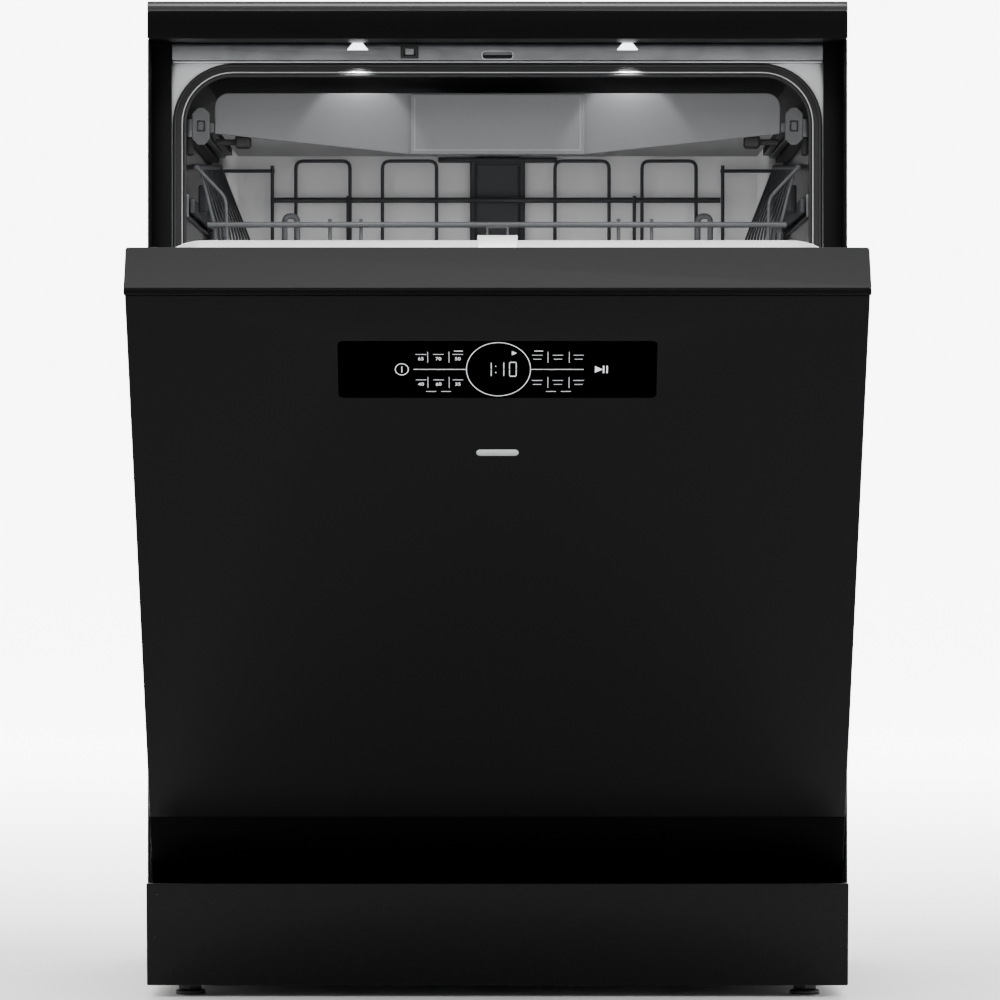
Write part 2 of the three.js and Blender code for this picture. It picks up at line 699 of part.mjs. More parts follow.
const TINES = { x: -120, first: 96, step: 42, count: 10 };
const TINE_FOOT = LOWER.floor + WIRE + 1;
const TINE_TOP = 285;
const tineXs = [TINES.x - WIRE / 2, TINES.x + WIRE / 2];
const tineYs = Array.from({ length: TINES.count }, (_, index) => TINES.first + index * TINES.step);
piece('plate_tines', join(
  box(tineXs, [TINES.first, tineYs.at(-1) + WIRE], [TINE_FOOT, TINE_FOOT + WIRE]),
  ...tineYs.map((y) => box(tineXs, [y, y + WIRE], [TINE_FOOT, TINE_TOP])),
), 'coatedWire');

const BASKET = { x: [130, 232], y: [90, 250], z: [LOWER.floor + WIRE + GAP, 335] };
const BASKET_CELL_XS = [[132.5, 179.5], [182.5, 229.5]];
const BASKET_CELL_YS = [92.5, 247.5];
const BASKET_BOTTOM = 222;
piece('cutlery_basket', cut(
  box(BASKET.x, BASKET.y, BASKET.z),
  ...BASKET_CELL_XS.map((span) => box(span, BASKET_CELL_YS, [BASKET_BOTTOM, HEIGHT])),
), 'greyPlastic');

// ---- Door --------------------------------------------------------------------------------------------
const BRACKET_XS = [277, 282];
const BRACKET = { front: 8, rear: 130, arm: [142, 164.5], leg: 90, bevel: 12 };
const PIN_RADIUS = 6;
const bracketSection = polygon(
  [BRACKET.front, BRACKET.arm[0]],
  [BRACKET.leg - BRACKET.bevel, BRACKET.arm[0]],
  [BRACKET.leg, BRACKET.arm[0] - BRACKET.bevel],
  [BRACKET.leg, BASE_FLOOR + GAP],
  [BRACKET.rear, BASE_FLOOR + GAP],
  [BRACKET.rear, BRACKET.arm[1]],
  [BRACKET.front, BRACKET.arm[1]],
);
pair('hinge_bracket', cut(
  prism('x', bracketSection, BRACKET_XS),
  bar('x', [HINGE_Y, HINGE_Z], PIN_RADIUS + 0.5, [BRACKET_XS[0] - 1, BRACKET_XS[1] + 1]),
), 'zincSteel');

const door = new THREE.Group();
door.position.set(0, HINGE_Y, HINGE_Z);
door.rotation.x = DOOR_ANGLE;
cabinet.add(door);

const GLASS = { back: -39, low: 44.4, high: 653.6 };
const STRIP_HEIGHT = 5;
const FRONT_STEP = 0.3; // the glass lies this far behind the top strip's front face
const WINDOW = { half: 127.5, z: [541, 604], corner: 10 };
const windowOutline = (inset) => roundedRectangle(
  [inset - WINDOW.half, WINDOW.half - inset],
  [WINDOW.z[0] + inset, WINDOW.z[1] - inset],
  WINDOW.corner - inset,
);
piece('door_glass', cut(
  box([-DOOR_HALF, DOOR_HALF], [DOOR_FRONT + FRONT_STEP, GLASS.back], [GLASS.low, GLASS.high]),
  prism('y', windowOutline(0), [DOOR_FRONT, 0]),
), 'blackGlass', door);
piece('control_window', prism(
  'y',
  windowOutline(GAP),
  [DOOR_FRONT + FRONT_STEP, GLASS.back - 0.2],
), 'blackGlass', door);
piece('door_top_strip', box(
  [-DOOR_HALF - 1, DOOR_HALF + 1],
  [DOOR_FRONT, DOOR_BACK],
  [DOOR_TOP - STRIP_HEIGHT, DOOR_TOP],
), 'darkPlastic', door);
piece('door_kick', box(
  [-DOOR_HALF, DOOR_HALF],
  [DOOR_FRONT + FRONT_STEP, GLASS.back],
  [DOOR_BOTTOM, GLASS.low - GAP],
), 'blackPaint', door);

const HOUSING_HALF = 294.5;
const HOUSING_NECK = 272; // beside the hinge brackets the housing is narrower
const HOUSING_FRONT = GLASS.back + GAP;
const HOUSING_BACK = DOOR_BACK - GAP;
const NECK_TOP = 25;
const HOUSING_LOW = -52;
const HOUSING_TOP = DOOR_TOP - STRIP_HEIGHT - GAP;
const HOUSING_WALL = 6;
const HOUSING_SKIN = 3; // wall behind the glass
const neckCorner = box([HOUSING_NECK, HALF], [DOOR_FRONT, DOOR_BACK], [DOOR_BOTTOM, NECK_TOP]);
const hollow = (half, z) => box(
  [HOUSING_WALL - half, half - HOUSING_WALL],
  [HOUSING_FRONT + HOUSING_SKIN, PAN_BACK],
  z,
);
const pin = bar('x', [0, 0], PIN_RADIUS, [HOUSING_NECK - HOUSING_WALL, BRACKET_XS[1] + 1], 12);
piece('door_housing', join(
  cut(
    box([-HOUSING_HALF, HOUSING_HALF], [HOUSING_FRONT, HOUSING_BACK], [HOUSING_LOW, HOUSING_TOP]),
    neckCorner,
    mirrored(neckCorner),
    hollow(HOUSING_HALF, [NECK_TOP + HOUSING_WALL, HOUSING_TOP - HOUSING_WALL]),
    hollow(HOUSING_NECK, [HOUSING_LOW + HOUSING_WALL, NECK_TOP]),
  ),
  pin,
  mirrored(pin),
), 'darkPlastic', door);

const PAN = { half: 275.6, z: [-16, 650], lowerCorner: 8, upperCorner: 50 };
const panOutline = (inset) => roundedRectangle(
  [inset - PAN.half, PAN.half - inset],
  [PAN.z[0] + inset, PAN.z[1] - inset],
  PAN.lowerCorner - inset,
  PAN.upperCorner - inset,
);
const LINER_TOP = 654.5;
piece('door_liner', cut(
  join(
    box([-HOUSING_HALF, HOUSING_HALF], [DOOR_BACK, DOOR_BACK + SHEET], [NECK_TOP + 1, LINER_TOP]),
    prism('y', panOutline(0), [DOOR_BACK, PAN_BACK]),
  ),
  prism('y', panOutline(SHEET), [0, PAN_BACK - SHEET]),
), 'stainless', door);

const LATCH = { caseHalf: 16, case: [DOOR_BACK + SHEET + GAP, 28], noseHalf: 9, tip: 40 };
const LATCH_LOW = PAN.z[1] + 0.4;
const CASE_TOP = LATCH_LOW + 4.2;
const NOSE_TOP = LATCH_LOW + 2.2;
piece('door_latch', join(
  box([-LATCH.caseHalf, LATCH.caseHalf], LATCH.case, [LATCH_LOW, CASE_TOP]),
  box([-LATCH.noseHalf, LATCH.noseHalf], [LATCH.case[1] - 1, LATCH.tip], [LATCH_LOW, NOSE_TOP]),
), 'zincSteel', door);

const DISPENSER_FACE = 36;
const DISPENSER = { x: [-60, 125], z: [300, 420] };
const POWDER_CUP = { x: [-42, 52], z: [318, 402], bottom: 30 };
const LID = { x: [-48, 58], y: [DISPENSER_FACE + GAP, DISPENSER_FACE + 2.8], z: [306.6, 408] };
const KNUCKLE_RADIUS = 2.3; // the lid turns about the front of its lower edge
piece('dispenser_body', cut(
  box(DISPENSER.x, [PAN_BACK + GAP, DISPENSER_FACE], DISPENSER.z),
  box(POWDER_CUP.x, [POWDER_CUP.bottom, DISPENSER_FACE + 1], POWDER_CUP.z),
), 'greyPlastic', door);
piece('dispenser_lid', join(
  box(LID.x, LID.y, LID.z),
  bar('x', [LID.y[1], LID.z[0]], KNUCKLE_RADIUS, LID.x, 16),
), 'greyPlastic', door);
const RINSE_CAP = { x: 92, z: 360, radius: 17, thick: 2.5, grip: 2 };
const capFace = DISPENSER_FACE + GAP;
piece('rinse_aid_cap', join(
  bar('y', [RINSE_CAP.x, RINSE_CAP.z], RINSE_CAP.radius, [capFace, capFace + RINSE_CAP.thick], 20),
  box(
    [RINSE_CAP.x - 3, RINSE_CAP.x + 3],
    [capFace + RINSE_CAP.thick - 0.5, capFace + RINSE_CAP.thick + RINSE_CAP.grip],
    [RINSE_CAP.z - 14, RINSE_CAP.z + 14],
  ),
), 'darkPlastic', door);

export default machine;
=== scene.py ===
import json
import math

import bpy
from mathutils import Matrix, Vector


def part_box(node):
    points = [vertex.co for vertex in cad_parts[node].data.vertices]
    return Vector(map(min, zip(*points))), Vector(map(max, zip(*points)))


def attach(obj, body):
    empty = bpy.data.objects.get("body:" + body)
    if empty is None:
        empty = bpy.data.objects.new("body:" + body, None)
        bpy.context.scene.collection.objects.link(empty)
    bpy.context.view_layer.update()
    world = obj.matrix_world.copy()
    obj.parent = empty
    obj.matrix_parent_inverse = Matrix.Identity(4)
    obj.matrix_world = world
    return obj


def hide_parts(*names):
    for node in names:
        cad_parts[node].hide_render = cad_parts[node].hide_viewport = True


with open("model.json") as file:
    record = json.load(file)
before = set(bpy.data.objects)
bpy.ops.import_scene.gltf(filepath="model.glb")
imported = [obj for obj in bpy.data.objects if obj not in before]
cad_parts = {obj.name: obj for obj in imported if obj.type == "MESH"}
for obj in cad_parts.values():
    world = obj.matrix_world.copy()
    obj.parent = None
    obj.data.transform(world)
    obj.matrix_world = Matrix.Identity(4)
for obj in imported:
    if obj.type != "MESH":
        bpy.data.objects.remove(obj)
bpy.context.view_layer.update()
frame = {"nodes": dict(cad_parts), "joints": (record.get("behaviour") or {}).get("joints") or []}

# ---- Camera ----
# A long lens far in front of the machine, level, at half of its height. Y in millimetres is
# counted from the front edges of the side panels, as everything on the cabinet is below.
CABINET_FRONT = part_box("side_panel_right")[0][1]


def on_cabinet(x, y, z):
    """A place given in millimetres on the cabinet, in the frame's metres."""
    return Vector((x / 1000, CABINET_FRONT + y / 1000, z / 1000))


EYE_HEIGHT = 424
EYE_DISTANCE = 6422
camera_data = bpy.data.cameras.new("front_camera")
camera_data.lens = 270.54
camera_data.shift_x = 0.0025
camera_data.clip_end = 60
camera = bpy.data.objects.new("front_camera", camera_data)
camera.location = on_cabinet(0, -EYE_DISTANCE, EYE_HEIGHT)
camera.rotation_euler = (math.pi / 2, 0, 0)
bpy.context.collection.objects.link(camera)
bpy.context.scene.camera = camera

# ---- Floor and light ----
# A pale studio sweep: a floor that curves up into a wall far behind. A wide soft box hangs above
# the front, two tall ones stand at the sides and draw bright lines along the black edges.


def only(piece):
    """Selects one object and nothing else."""
    bpy.ops.object.select_all(action="DESELECT")
    piece.select_set(True)
    bpy.context.view_layer.objects.active = piece


def edit(piece, mode, chosen):
    """Opens a piece in edit mode with the chosen faces or edges selected."""
    only(piece)
    bpy.ops.object.mode_set(mode="EDIT")
    bpy.ops.mesh.select_mode(type=mode)
    bpy.ops.mesh.select_all(action="DESELECT")
    bpy.ops.object.mode_set(mode="OBJECT")
    places = [vertex.co for vertex in piece.data.vertices]
    if mode == "FACE":
        for face in piece.data.polygons:
            face.select = chosen(face.center, face.normal)
    else:
        for edge in piece.data.edges:
            start, end = (places[i] for i in edge.vertices)
            edge.select = chosen((start + end) / 2, (end - start).normalized())
    bpy.ops.object.mode_set(mode="EDIT")


def closed_edit():
    bpy.ops.object.mode_set(mode="OBJECT")


def facing(*way):
    """Chooses the faces that look one way."""
    return lambda middle, normal: normal.dot(Vector(way)) > 0.9


def everything(middle, normal):
    return True


def surface(made):
    """The sockets of a material's shader."""
    return made.node_tree.nodes["Principled BSDF"].inputs


def node_material(name, colour, roughness, metallic=0.0):
    """A new material with its plain values on the shader; its grain is added by the caller."""
    made = bpy.data.materials.new(name)
    made.use_nodes = True
    sockets = surface(made)
    sockets["Base Color"].default_value = (*colour, 1)
    sockets["Roughness"].default_value = roughness
    sockets["Metallic"].default_value = metallic
    return made


def grain(made, scale, stretch=(1, 1, 1), detail=3):
    """Noise on object coordinates, stretched along an axis for brushed or drawn metal."""
    tree = made.node_tree
    place = tree.nodes.new("ShaderNodeTexCoord")
    mapping = tree.nodes.new("ShaderNodeMapping")
    mapping.inputs["Scale"].default_value = stretch
    noise = tree.nodes.new("ShaderNodeTexNoise")
    noise.inputs["Scale"].default_value = scale
    noise.inputs["Detail"].default_value = detail
    tree.links.new(place.outputs["Object"], mapping.inputs["Vector"])
    tree.links.new(mapping.outputs["Vector"], noise.inputs["Vector"])
    return noise


def vary(made, noise, socket, low, high):
    """Lets a socket run from low to high with the noise."""
    tree = made.node_tree
    ramp = tree.nodes.new("ShaderNodeValToRGB")
    ramp.color_ramp.elements[0].position = 0.35
    ramp.color_ramp.elements[1].position = 0.65
    if not isinstance(low, tuple):
        low, high = (low,) * 3, (high,) * 3
    ramp.color_ramp.elements[0].color = (*low, 1)
    ramp.color_ramp.elements[1].color = (*high, 1)
    tree.links.new(noise.outputs["Fac"], ramp.inputs["Fac"])
    tree.links.new(ramp.outputs["Color"], surface(made)[socket])


def bump(made, noise, strength, depth):
    tree = made.node_tree
    relief = tree.nodes.new("ShaderNodeBump")
    relief.inputs["Strength"].default_value = strength
    relief.inputs["Distance"].default_value = depth
    tree.links.new(noise.outputs["Fac"], relief.inputs["Height"])
    tree.links.new(relief.outputs["Normal"], surface(made)["Normal"])


def sheen(made, level):
    """Sets how strongly a material mirrors what stands before it."""
    surface(made)["Specular IOR Level"].default_value = level


def glow(made, colour, strength):
    surface(made)["Emission Color"].default_value = (*colour, 1)
    surface(made)["Emission Strength"].default_value = strength


def shaded(colour, share):
    return tuple(channel * share for channel in colour)


SWEEP_HALF = 9.0
WALL_GLOW = 6.0
bpy.ops.mesh.primitive_plane_add(size=2 * SWEEP_HALF, location=(0, 0, 0))
sweep = bpy.context.object
sweep.name = "studio_sweep"
edit(sweep, "EDGE", lambda middle, way: middle.y > SWEEP_HALF - 0.1)
bpy.ops.mesh.extrude_region_move(TRANSFORM_OT_translate={"value": (0, 0, 8)})
closed_edit()
edit(sweep, "EDGE", lambda middle, way: middle.y > SWEEP_HALF - 0.1 and middle.z < 0.1)
bpy.ops.mesh.bevel(offset=2.5, segments=16, affect="EDGES")
closed_edit()
bpy.ops.object.shade_smooth()
pale_paper = node_material("pale_paper", (0.9, 0.9, 0.9), 0.75)
paper_grain = grain(pale_paper, 60)
vary(pale_paper, paper_grain, "Base Color", (0.89, 0.89, 0.89), (0.91, 0.91, 0.91))
paper_tree = pale_paper.node_tree
paper_place = paper_tree.nodes.new("ShaderNodeTexCoord")
paper_axes = paper_tree.nodes.new("ShaderNodeSeparateXYZ")
glow_range = paper_tree.nodes.new("ShaderNodeMapRange")
glow_range.inputs["From Min"].default_value = 0.6
glow_range.inputs["From Max"].default_value = 5.0
glow_range.inputs["To Max"].default_value = WALL_GLOW
paper_tree.links.new(paper_place.outputs["Object"], paper_axes.inputs["Vector"])
paper_tree.links.new(paper_axes.outputs["Y"], glow_range.inputs["Value"])
paper_tree.links.new(glow_range.outputs["Result"], surface(pale_paper)["Emission Strength"])
surface(pale_paper)["Emission Color"].default_value = (1, 1, 1, 1)
sweep.data.materials.append(pale_paper)

world = bpy.data.worlds.new("studio_air")
world.use_nodes = True
world.node_tree.nodes["Background"].inputs["Color"].default_value = (1, 1, 1, 1)
world.node_tree.nodes["Background"].inputs["Strength"].default_value = 0.85
bpy.context.scene.world = world


def soft_box(name, place, target, size, power):
    data = bpy.data.lights.new(name, "AREA")
    data.shape = "RECTANGLE"
    data.size, data.size_y = size
    data.energy = power
    lamp = bpy.data.objects.new(name, data)
    lamp.location = place
    aim = Vector(target) - Vector(place)
    lamp.rotation_euler = aim.to_track_quat("-Z", "Y").to_euler()
    bpy.context.collection.objects.link(lamp)


soft_box("overhead_box", (0, -1.6, 3.2), (0, -0.1, 0.4), (3.2, 2.0), 110)
soft_box("left_box", (-3.0, -1.2, 1.5), (0, 0, 0.4), (0.8, 2.6), 24)
soft_box("right_box", (3.0, -1.2, 1.5), (0, 0, 0.4), (0.8, 2.6), 50)
soft_box("rear_box", (0, 3.2, 2.6), (0, 0.3, 0.5), (2.5, 1.2), 22)

# ---- Casing: worktop, side panels, plinth ----
# The worktop is a black laminate-faced board with a rounded front edge. The side panels are
# enamelled steel sheet, folded in beside the door opening. The plinth is clipped to the base.


def settled(piece, name):
    """Moves an object's place, turn and scale into its mesh and names both."""
    bpy.ops.object.transform_apply(location=True, rotation=True, scale=True)
    piece.name = name
    piece.data.name = name
    return piece


def block(name, xs, ys, zs, placed=on_cabinet):
    """A cube brought to its size and place, given by its low and high sides in millimetres."""
    low = placed(xs[0], ys[0], zs[0])
    high = placed(xs[1], ys[1], zs[1])
    bpy.ops.object.select_all(action="DESELECT")
    bpy.ops.mesh.primitive_cube_add(size=1, location=(low + high) / 2, scale=high - low)
    return settled(bpy.context.object, name)


def apply_modifier(piece, kind, **settings):
    only(piece)
    modifier = piece.modifiers.new(kind.lower(), kind)
    for key, value in settings.items():
        setattr(modifier, key, value)
    bpy.ops.object.modifier_apply(modifier=modifier.name)


def smoothed(piece, angle):
    """Shades smooth across every edge flatter than the angle."""
    only(piece)
    bpy.ops.object.shade_smooth_by_angle(angle=math.radians(angle))
    return piece


def soften(piece, width, segments=2, angle=35):
    """Rounds every edge sharper than the angle, and shades the flats flat."""
    apply_modifier(
        piece, "BEVEL", width=width / 1000, segments=segments, limit_method="ANGLE",
        angle_limit=math.radians(angle), harden_normals=False,
    )
    return smoothed(piece, angle)


def carved(piece, cutter):
    """Cuts one piece out of another and throws the cutter away."""
    apply_modifier(piece, "BOOLEAN", operation="DIFFERENCE", solver="EXACT", object=cutter)
    bpy.data.objects.remove(cutter)
    return piece


def round_corners(piece, along, radius, segments, chosen=lambda middle: True):
    """Rounds the edges that run along one axis and whose middle passes the test."""
    axis = Vector({"x": (1, 0, 0), "y": (0, 1, 0), "z": (0, 0, 1)}[along])
    edit(piece, "EDGE", lambda middle, way: abs(way.dot(axis)) > 0.999 and chosen(middle))
    bpy.ops.mesh.bevel(offset=radius / 1000, segments=segments, affect="EDGES")
    closed_edit()
    return piece


def pressed(piece, chosen, *steps):
    """Insets the chosen face again and again, each step a width and a depth in millimetres."""
    edit(piece, "FACE", chosen)
    for width, depth in steps:
        bpy.ops.mesh.inset(thickness=width / 1000, depth=depth / 1000)
    closed_edit()
    return piece


def finished(piece, made, body, *nodes):
    """Gives a piece its material and its body, and the CAD nodes that it stands for."""
    piece.data.materials.clear()
    piece.data.materials.append(made)
    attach(piece, body)
    if nodes:
        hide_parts(*nodes)
    return piece


def enamel(name, colour, roughness):
    """Baked enamel: a gloss coat with faint orange peel."""
    made = node_material(name, colour, roughness)
    peel = grain(made, 500)
    vary(made, peel, "Roughness", roughness * 0.9, roughness * 1.15)
    bump(made, peel, 0.12, 0.00015)
    sheen(made, 0.12)
    return made


BLACK = (0.0025, 0.0025, 0.0027)
black_enamel = enamel("black_enamel", BLACK, 0.46)
laminate = node_material("black_laminate", BLACK, 0.42)
laminate_grain = grain(laminate, 1400)
vary(laminate, laminate_grain, "Roughness", 0.36, 0.5)
laminate_blacks = (shaded(BLACK, 0.4), shaded(BLACK, 0.8))
vary(laminate, laminate_grain, "Base Color", *laminate_blacks)
bump(laminate, laminate_grain, 0.25, 0.0001)
sheen(laminate, 0.05)

NOSING_BACK, NOSING_LOW = -3, 841
worktop = block("worktop_board", (-298.8, 298.8), (-12, 575), (818, 850))
carved(worktop, block("nosing_rebate", (-300, 300), (-20, NOSING_BACK), (NOSING_LOW, 860)))
soften(worktop, 0.6, 2, 50)
finished(worktop, laminate, "cabinet", "worktop")

nosing = block("worktop_nosing", (-298.8, 298.8), (-12, NOSING_BACK - 0.05), (NOSING_LOW + 0.05, 850))
round_corners(nosing, "x", 6.5, 10, lambda m: m.y < CABINET_FRONT - 0.01 and m.z > 0.845)
soften(nosing, 0.5, 2, 50)
nosing_black = enamel("nosing_black", (0.004, 0.004, 0.0042), 0.22)
sheen(nosing_black, 0.75)
finished(nosing, nosing_black, "cabinet")

worktop_seal = block("worktop_seam", (-297.6, 297.6), (-9, 560), (817.75, 818))
finished(worktop_seal, black_enamel, "cabinet")


def copied(piece, name, change):
    """A copy with its own mesh, changed by a matrix."""
    other = piece.copy()
    other.data = piece.data.copy()
    other.name = name
    other.data.name = name
    bpy.context.collection.objects.link(other)
    other.data.transform(change)
    return other


def mirrored_copy(piece, name):
    """The same piece on the other side, with its faces turned back out."""
    other = copied(piece, name, Matrix.Scale(-1, 4, (1, 0, 0)))
    other.data.flip_normals()
    return other


def finished_pair(right, made, body, *nodes):
    """Finishes a right-hand piece and its mirror copy. A {} in a body or node is the side."""
    left = mirrored_copy(right, right.name.replace("_right", "_left"))
    for piece, side in ((right, "right"), (left, "left")):
        finished(piece, made, body.format(side), *(node.format(side) for node in nodes))


def joined(name, *pieces):
    """One object out of several."""
    bpy.ops.object.select_all(action="DESELECT")
    for piece in pieces:
        piece.select_set(True)
    bpy.context.view_layer.objects.active = pieces[0]
    if len(pieces) > 1:
        bpy.ops.object.join()
    pieces[0].name = name
    pieces[0].data.name = name
    return pieces[0]


side_sheet = block("side_sheet", (297, 299), (0, 576), (14, 817.7))
pressed(side_sheet, facing(1, 0, 0), (12, 0), (3, -0.6))
side_return = block("side_return", (280.4, 297.2), (46, 48), (166, 817.7))
soften(side_return, 0.8)
soften(side_sheet, 0.5, 2)
side_right = joined("side_panel_shell_right", side_sheet, side_return)
finished_pair(side_right, black_enamel, "cabinet", "side_panel_{}")

plinth = block("plinth_board", (-299, 299), (-27.5, -22.5), (10, 98))
edit(plinth, "FACE", facing(0, 0, -1))
bpy.ops.transform.translate(value=(0, 0.0145, 0))
closed_edit()
soften(plinth, 1.2, 3)
finished(plinth, enamel("plinth_enamel", (0.003, 0.003, 0.0032), 0.3), "cabinet", "plinth")


def galvanised(name, colour, roughness):
    """Zinc-coated steel: a cool metal with large soft spangles and fine rolling lines."""
    made = node_material(name, colour, roughness, 0.85)
    spangle = grain(made, 45, detail=1)
    rolling = grain(made, 300, (0.02, 1, 1))
    vary(made, spangle, "Base Color", shaded(colour, 0.85), shaded(colour, 1.08))
    vary(made, rolling, "Roughness", roughness * 0.85, roughness * 1.2)
    bump(made, rolling, 0.08, 0.0001)
    return made


zinc = galvanised("zinc_sheet", (0.33, 0.335, 0.345), 0.42)
rear = block("rear_sheet", (-298.7, 298.7), (576.4, 578), (152, 817.7))
pressed(rear, facing(0, 1, 0), (25, 0), (4, -1.2), (130, 0), (4, 1.1))
finished(smoothed(rear, 10), zinc, "cabinet", "rear_panel")

# ---- Base tray, sump, pumps and feet ----
# The parts of the base are injection moulded plastic with a fine spark-eroded surface, clipped
# and screwed together. Four levelling feet screw into the tray on threaded studs.


def moulded(name, colour, roughness, texture=1200, relief=0.25):
    made = node_material(name, colour, roughness)
    spark = grain(made, texture)
    vary(made, spark, "Roughness", roughness * 0.88, min(1.0, roughness * 1.12))
    vary(made, spark, "Base Color", shaded(colour, 0.9), shaded(colour, 1.1))
    bump(made, spark, relief, 0.00012)
    return made


black_moulding = moulded("black_moulding", (0.012, 0.012, 0.013), 0.55)
dark_moulding = moulded("dark_moulding", (0.045, 0.048, 0.052), 0.5)
grey_moulding = moulded("grey_moulding", (0.24, 0.25, 0.26), 0.5)
white_moulding = moulded("white_moulding", (0.72, 0.73, 0.72), 0.4)


def recoat(made, *nodes):
    """Gives CAD nodes that keep their shape a better material."""
    for node in nodes:
        piece = frame["nodes"][node]
        piece.data.materials.clear()
        piece.data.materials.append(made)


recoat(black_moulding, "base_tray", "sump", "power_inlet")
recoat(grey_moulding, "circulation_pump", "drain_pump", "latch_catch")
recoat(white_moulding, "water_softener", "inlet_valve")
recoat(zinc, "hinge_bracket_right", "hinge_bracket_left")


def turned(name, profile, centre, sides=32):
    """A profile of [radius, height] steps spun into a body: a circle extruded and scaled."""
    bpy.ops.object.select_all(action="DESELECT")
    first_radius, first_height = profile[0]
    bpy.ops.mesh.primitive_circle_add(
        vertices=sides, radius=first_radius / 1000, fill_type="NGON",
        location=on_cabinet(centre[0], centre[1], first_height),
    )
    piece = bpy.context.object
    bpy.ops.object.transform_apply(location=True, rotation=False, scale=False)
    edit(piece, "FACE", everything)
    radius, height = first_radius, first_height
    middle = on_cabinet(centre[0], centre[1], 0)
    for next_radius, next_height in profile[1:]:
        rise = (next_height - height) / 1000
        bpy.ops.mesh.extrude_region_move(TRANSFORM_OT_translate={"value": (0, 0, rise)})
        share = next_radius / radius
        bpy.ops.transform.resize(
            value=(share, share, 1),
            center_override=(middle.x, middle.y, next_height / 1000),
        )
        radius, height = next_radius, next_height
    bpy.ops.mesh.select_all(action="SELECT")
    bpy.ops.mesh.normals_make_consistent(inside=False)
    closed_edit()
    piece.name = name
    piece.data.name = name
    return piece


FOOT_X, FOOT_Y = 263.6, 30
FOOT_YS = {"front": FOOT_Y, "rear": 530}
pad = turned("foot_pad", [(12, 0), (13, 1), (13, 3), (11.5, 4)], (FOOT_X, FOOT_Y))
nut = turned("foot_nut", [(9.5, 4), (11, 5), (11, 10.5), (9.5, 11.5)], (FOOT_X, FOOT_Y), 6)
threads = [(5.0, 11.5)]
for turn in range(12):
    threads.append((4.2, 12.5 + turn * 2.4))
    threads.append((5.0, 13.7 + turn * 2.4))
stud = turned("foot_stud", threads, (FOOT_X, FOOT_Y), 16)
foot = soften(joined("foot", pad, nut, stud), 0.25, 2)
for place, y in FOOT_YS.items():
    moved = Matrix.Translation((0, (y - FOOT_Y) / 1000, 0))
    right = copied(foot, f"levelling_foot_{place}_right", moved)
    finished_pair(right, black_moulding, "cabinet", f"foot_{place}_{{}}")
bpy.data.objects.remove(foot)

# ---- Tub ----
# The tub is a box of thin stainless steel, open at the front, with rounded corners, an outward
# flange round its mouth and a pressed runner on each side. It is deep drawn and seam welded.


def stainless(name, colour, roughness, stretch):
    made = node_material(name, colour, roughness, 0.9)
    brush = grain(made, 900, stretch, 4)
    cloud = grain(made, 5, detail=1)
    vary(made, cloud, "Base Color", shaded(colour, 0.94), shaded(colour, 1.04))
    vary(made, brush, "Roughness", roughness * 0.9, roughness * 1.12)
    bump(made, brush, 0.06, 0.00004)
    return made


tub_steel = stainless("tub_steel", (0.74, 0.74, 0.745), 0.36, (1, 1, 0.05))
# The side walls and the roof are the same steel in darker copies: painted shade and painted dark
# reflection inside the tub.
painted_shade_wall_steel = stainless("tub_painted_shade_wall_steel", (0.2, 0.2, 0.205), 0.3, (1, 1, 0.05))
painted_shade_roof_steel = stainless("tub_painted_shade_roof_steel", (0.07, 0.07, 0.073), 0.4, (1, 0.05, 1))
TUB_X, TUB_Y, TUB_Z = (-270, 270), (58, 560), (170, 790)
tub = block("tub_shell", TUB_X, TUB_Y, TUB_Z)
edit(tub, "FACE", facing(0, -1, 0))
bpy.ops.mesh.delete(type="ONLY_FACE")
closed_edit()
round_corners(tub, "y", 44, 8, lambda m: m.z > 0.7)
round_corners(tub, "y", 8, 3, lambda m: m.z < 0.2)
tub_rear = on_cabinet(0, 560, 0).y
edit(tub, "EDGE", lambda middle, way: abs(middle.y - tub_rear) < 1e-4 and abs(way.y) < 0.01)
bpy.ops.mesh.bevel(offset=0.030, segments=8, affect="EDGES")
closed_edit()
edit(tub, "FACE", everything)
bpy.ops.mesh.normals_make_consistent(inside=True)
closed_edit()
apply_modifier(tub, "SOLIDIFY", thickness=0.0012, offset=-1)
smoothed(tub, 30)
carved(tub, block("sump_hole", (-57, 117), (233, 367), (150, 175)))
finished(tub, tub_steel, "cabinet", "tub")
tub.data.materials.append(painted_shade_wall_steel)
tub.data.materials.append(painted_shade_roof_steel)
# Roof faces and side-wall faces take the darker copies: painted shade chosen by where each face looks.
for face in tub.data.polygons:
    if abs(face.normal.y) < 0.5 and face.center.z > 0.78:
        face.material_index = 2
    elif abs(face.normal.x) > 0.6 and abs(face.normal.y) < 0.5:
        face.material_index = 1

flange = block("tub_flange", (-292, 292), (58.05, 59.2), (166, 801.5))
mouth = block("tub_mouth", (-270.4, 270.4), (50, 70), (169.6, 790.4))
round_corners(mouth, "y", 44, 10, lambda m: m.z > 0.7)
carved(flange, mouth)
soften(flange, 0.3)
flange_steel = stainless("flange_steel", (0.7, 0.71, 0.72), 0.32, (0.05, 1, 1))
finished(flange, flange_steel, "cabinet")

runner = block("tub_runner_right", (228, 269.9), (62, 556), (170.05, 183.7))
round_corners(runner, "y", 4, 4, lambda m: m.z > 0.18 and m.x < 0.25)
soften(runner, 1.5, 2)
finished_pair(runner, tub_steel, "cabinet")


def channel(name, xs, ys, zs, open_towards, rim=2.2, groove=1.8):
    """A rolled rail: a bar with a long groove pushed into the side that the next one runs in."""
    bar = block(name, xs, ys, zs)
    edit(bar, "FACE", facing(open_towards, 0, 0))
    bpy.ops.mesh.inset(thickness=rim / 1000, depth=0)
    bpy.ops.transform.translate(value=(-groove * open_towards / 1000, 0, 0))
    closed_edit()
    return soften(bar, 0.5)


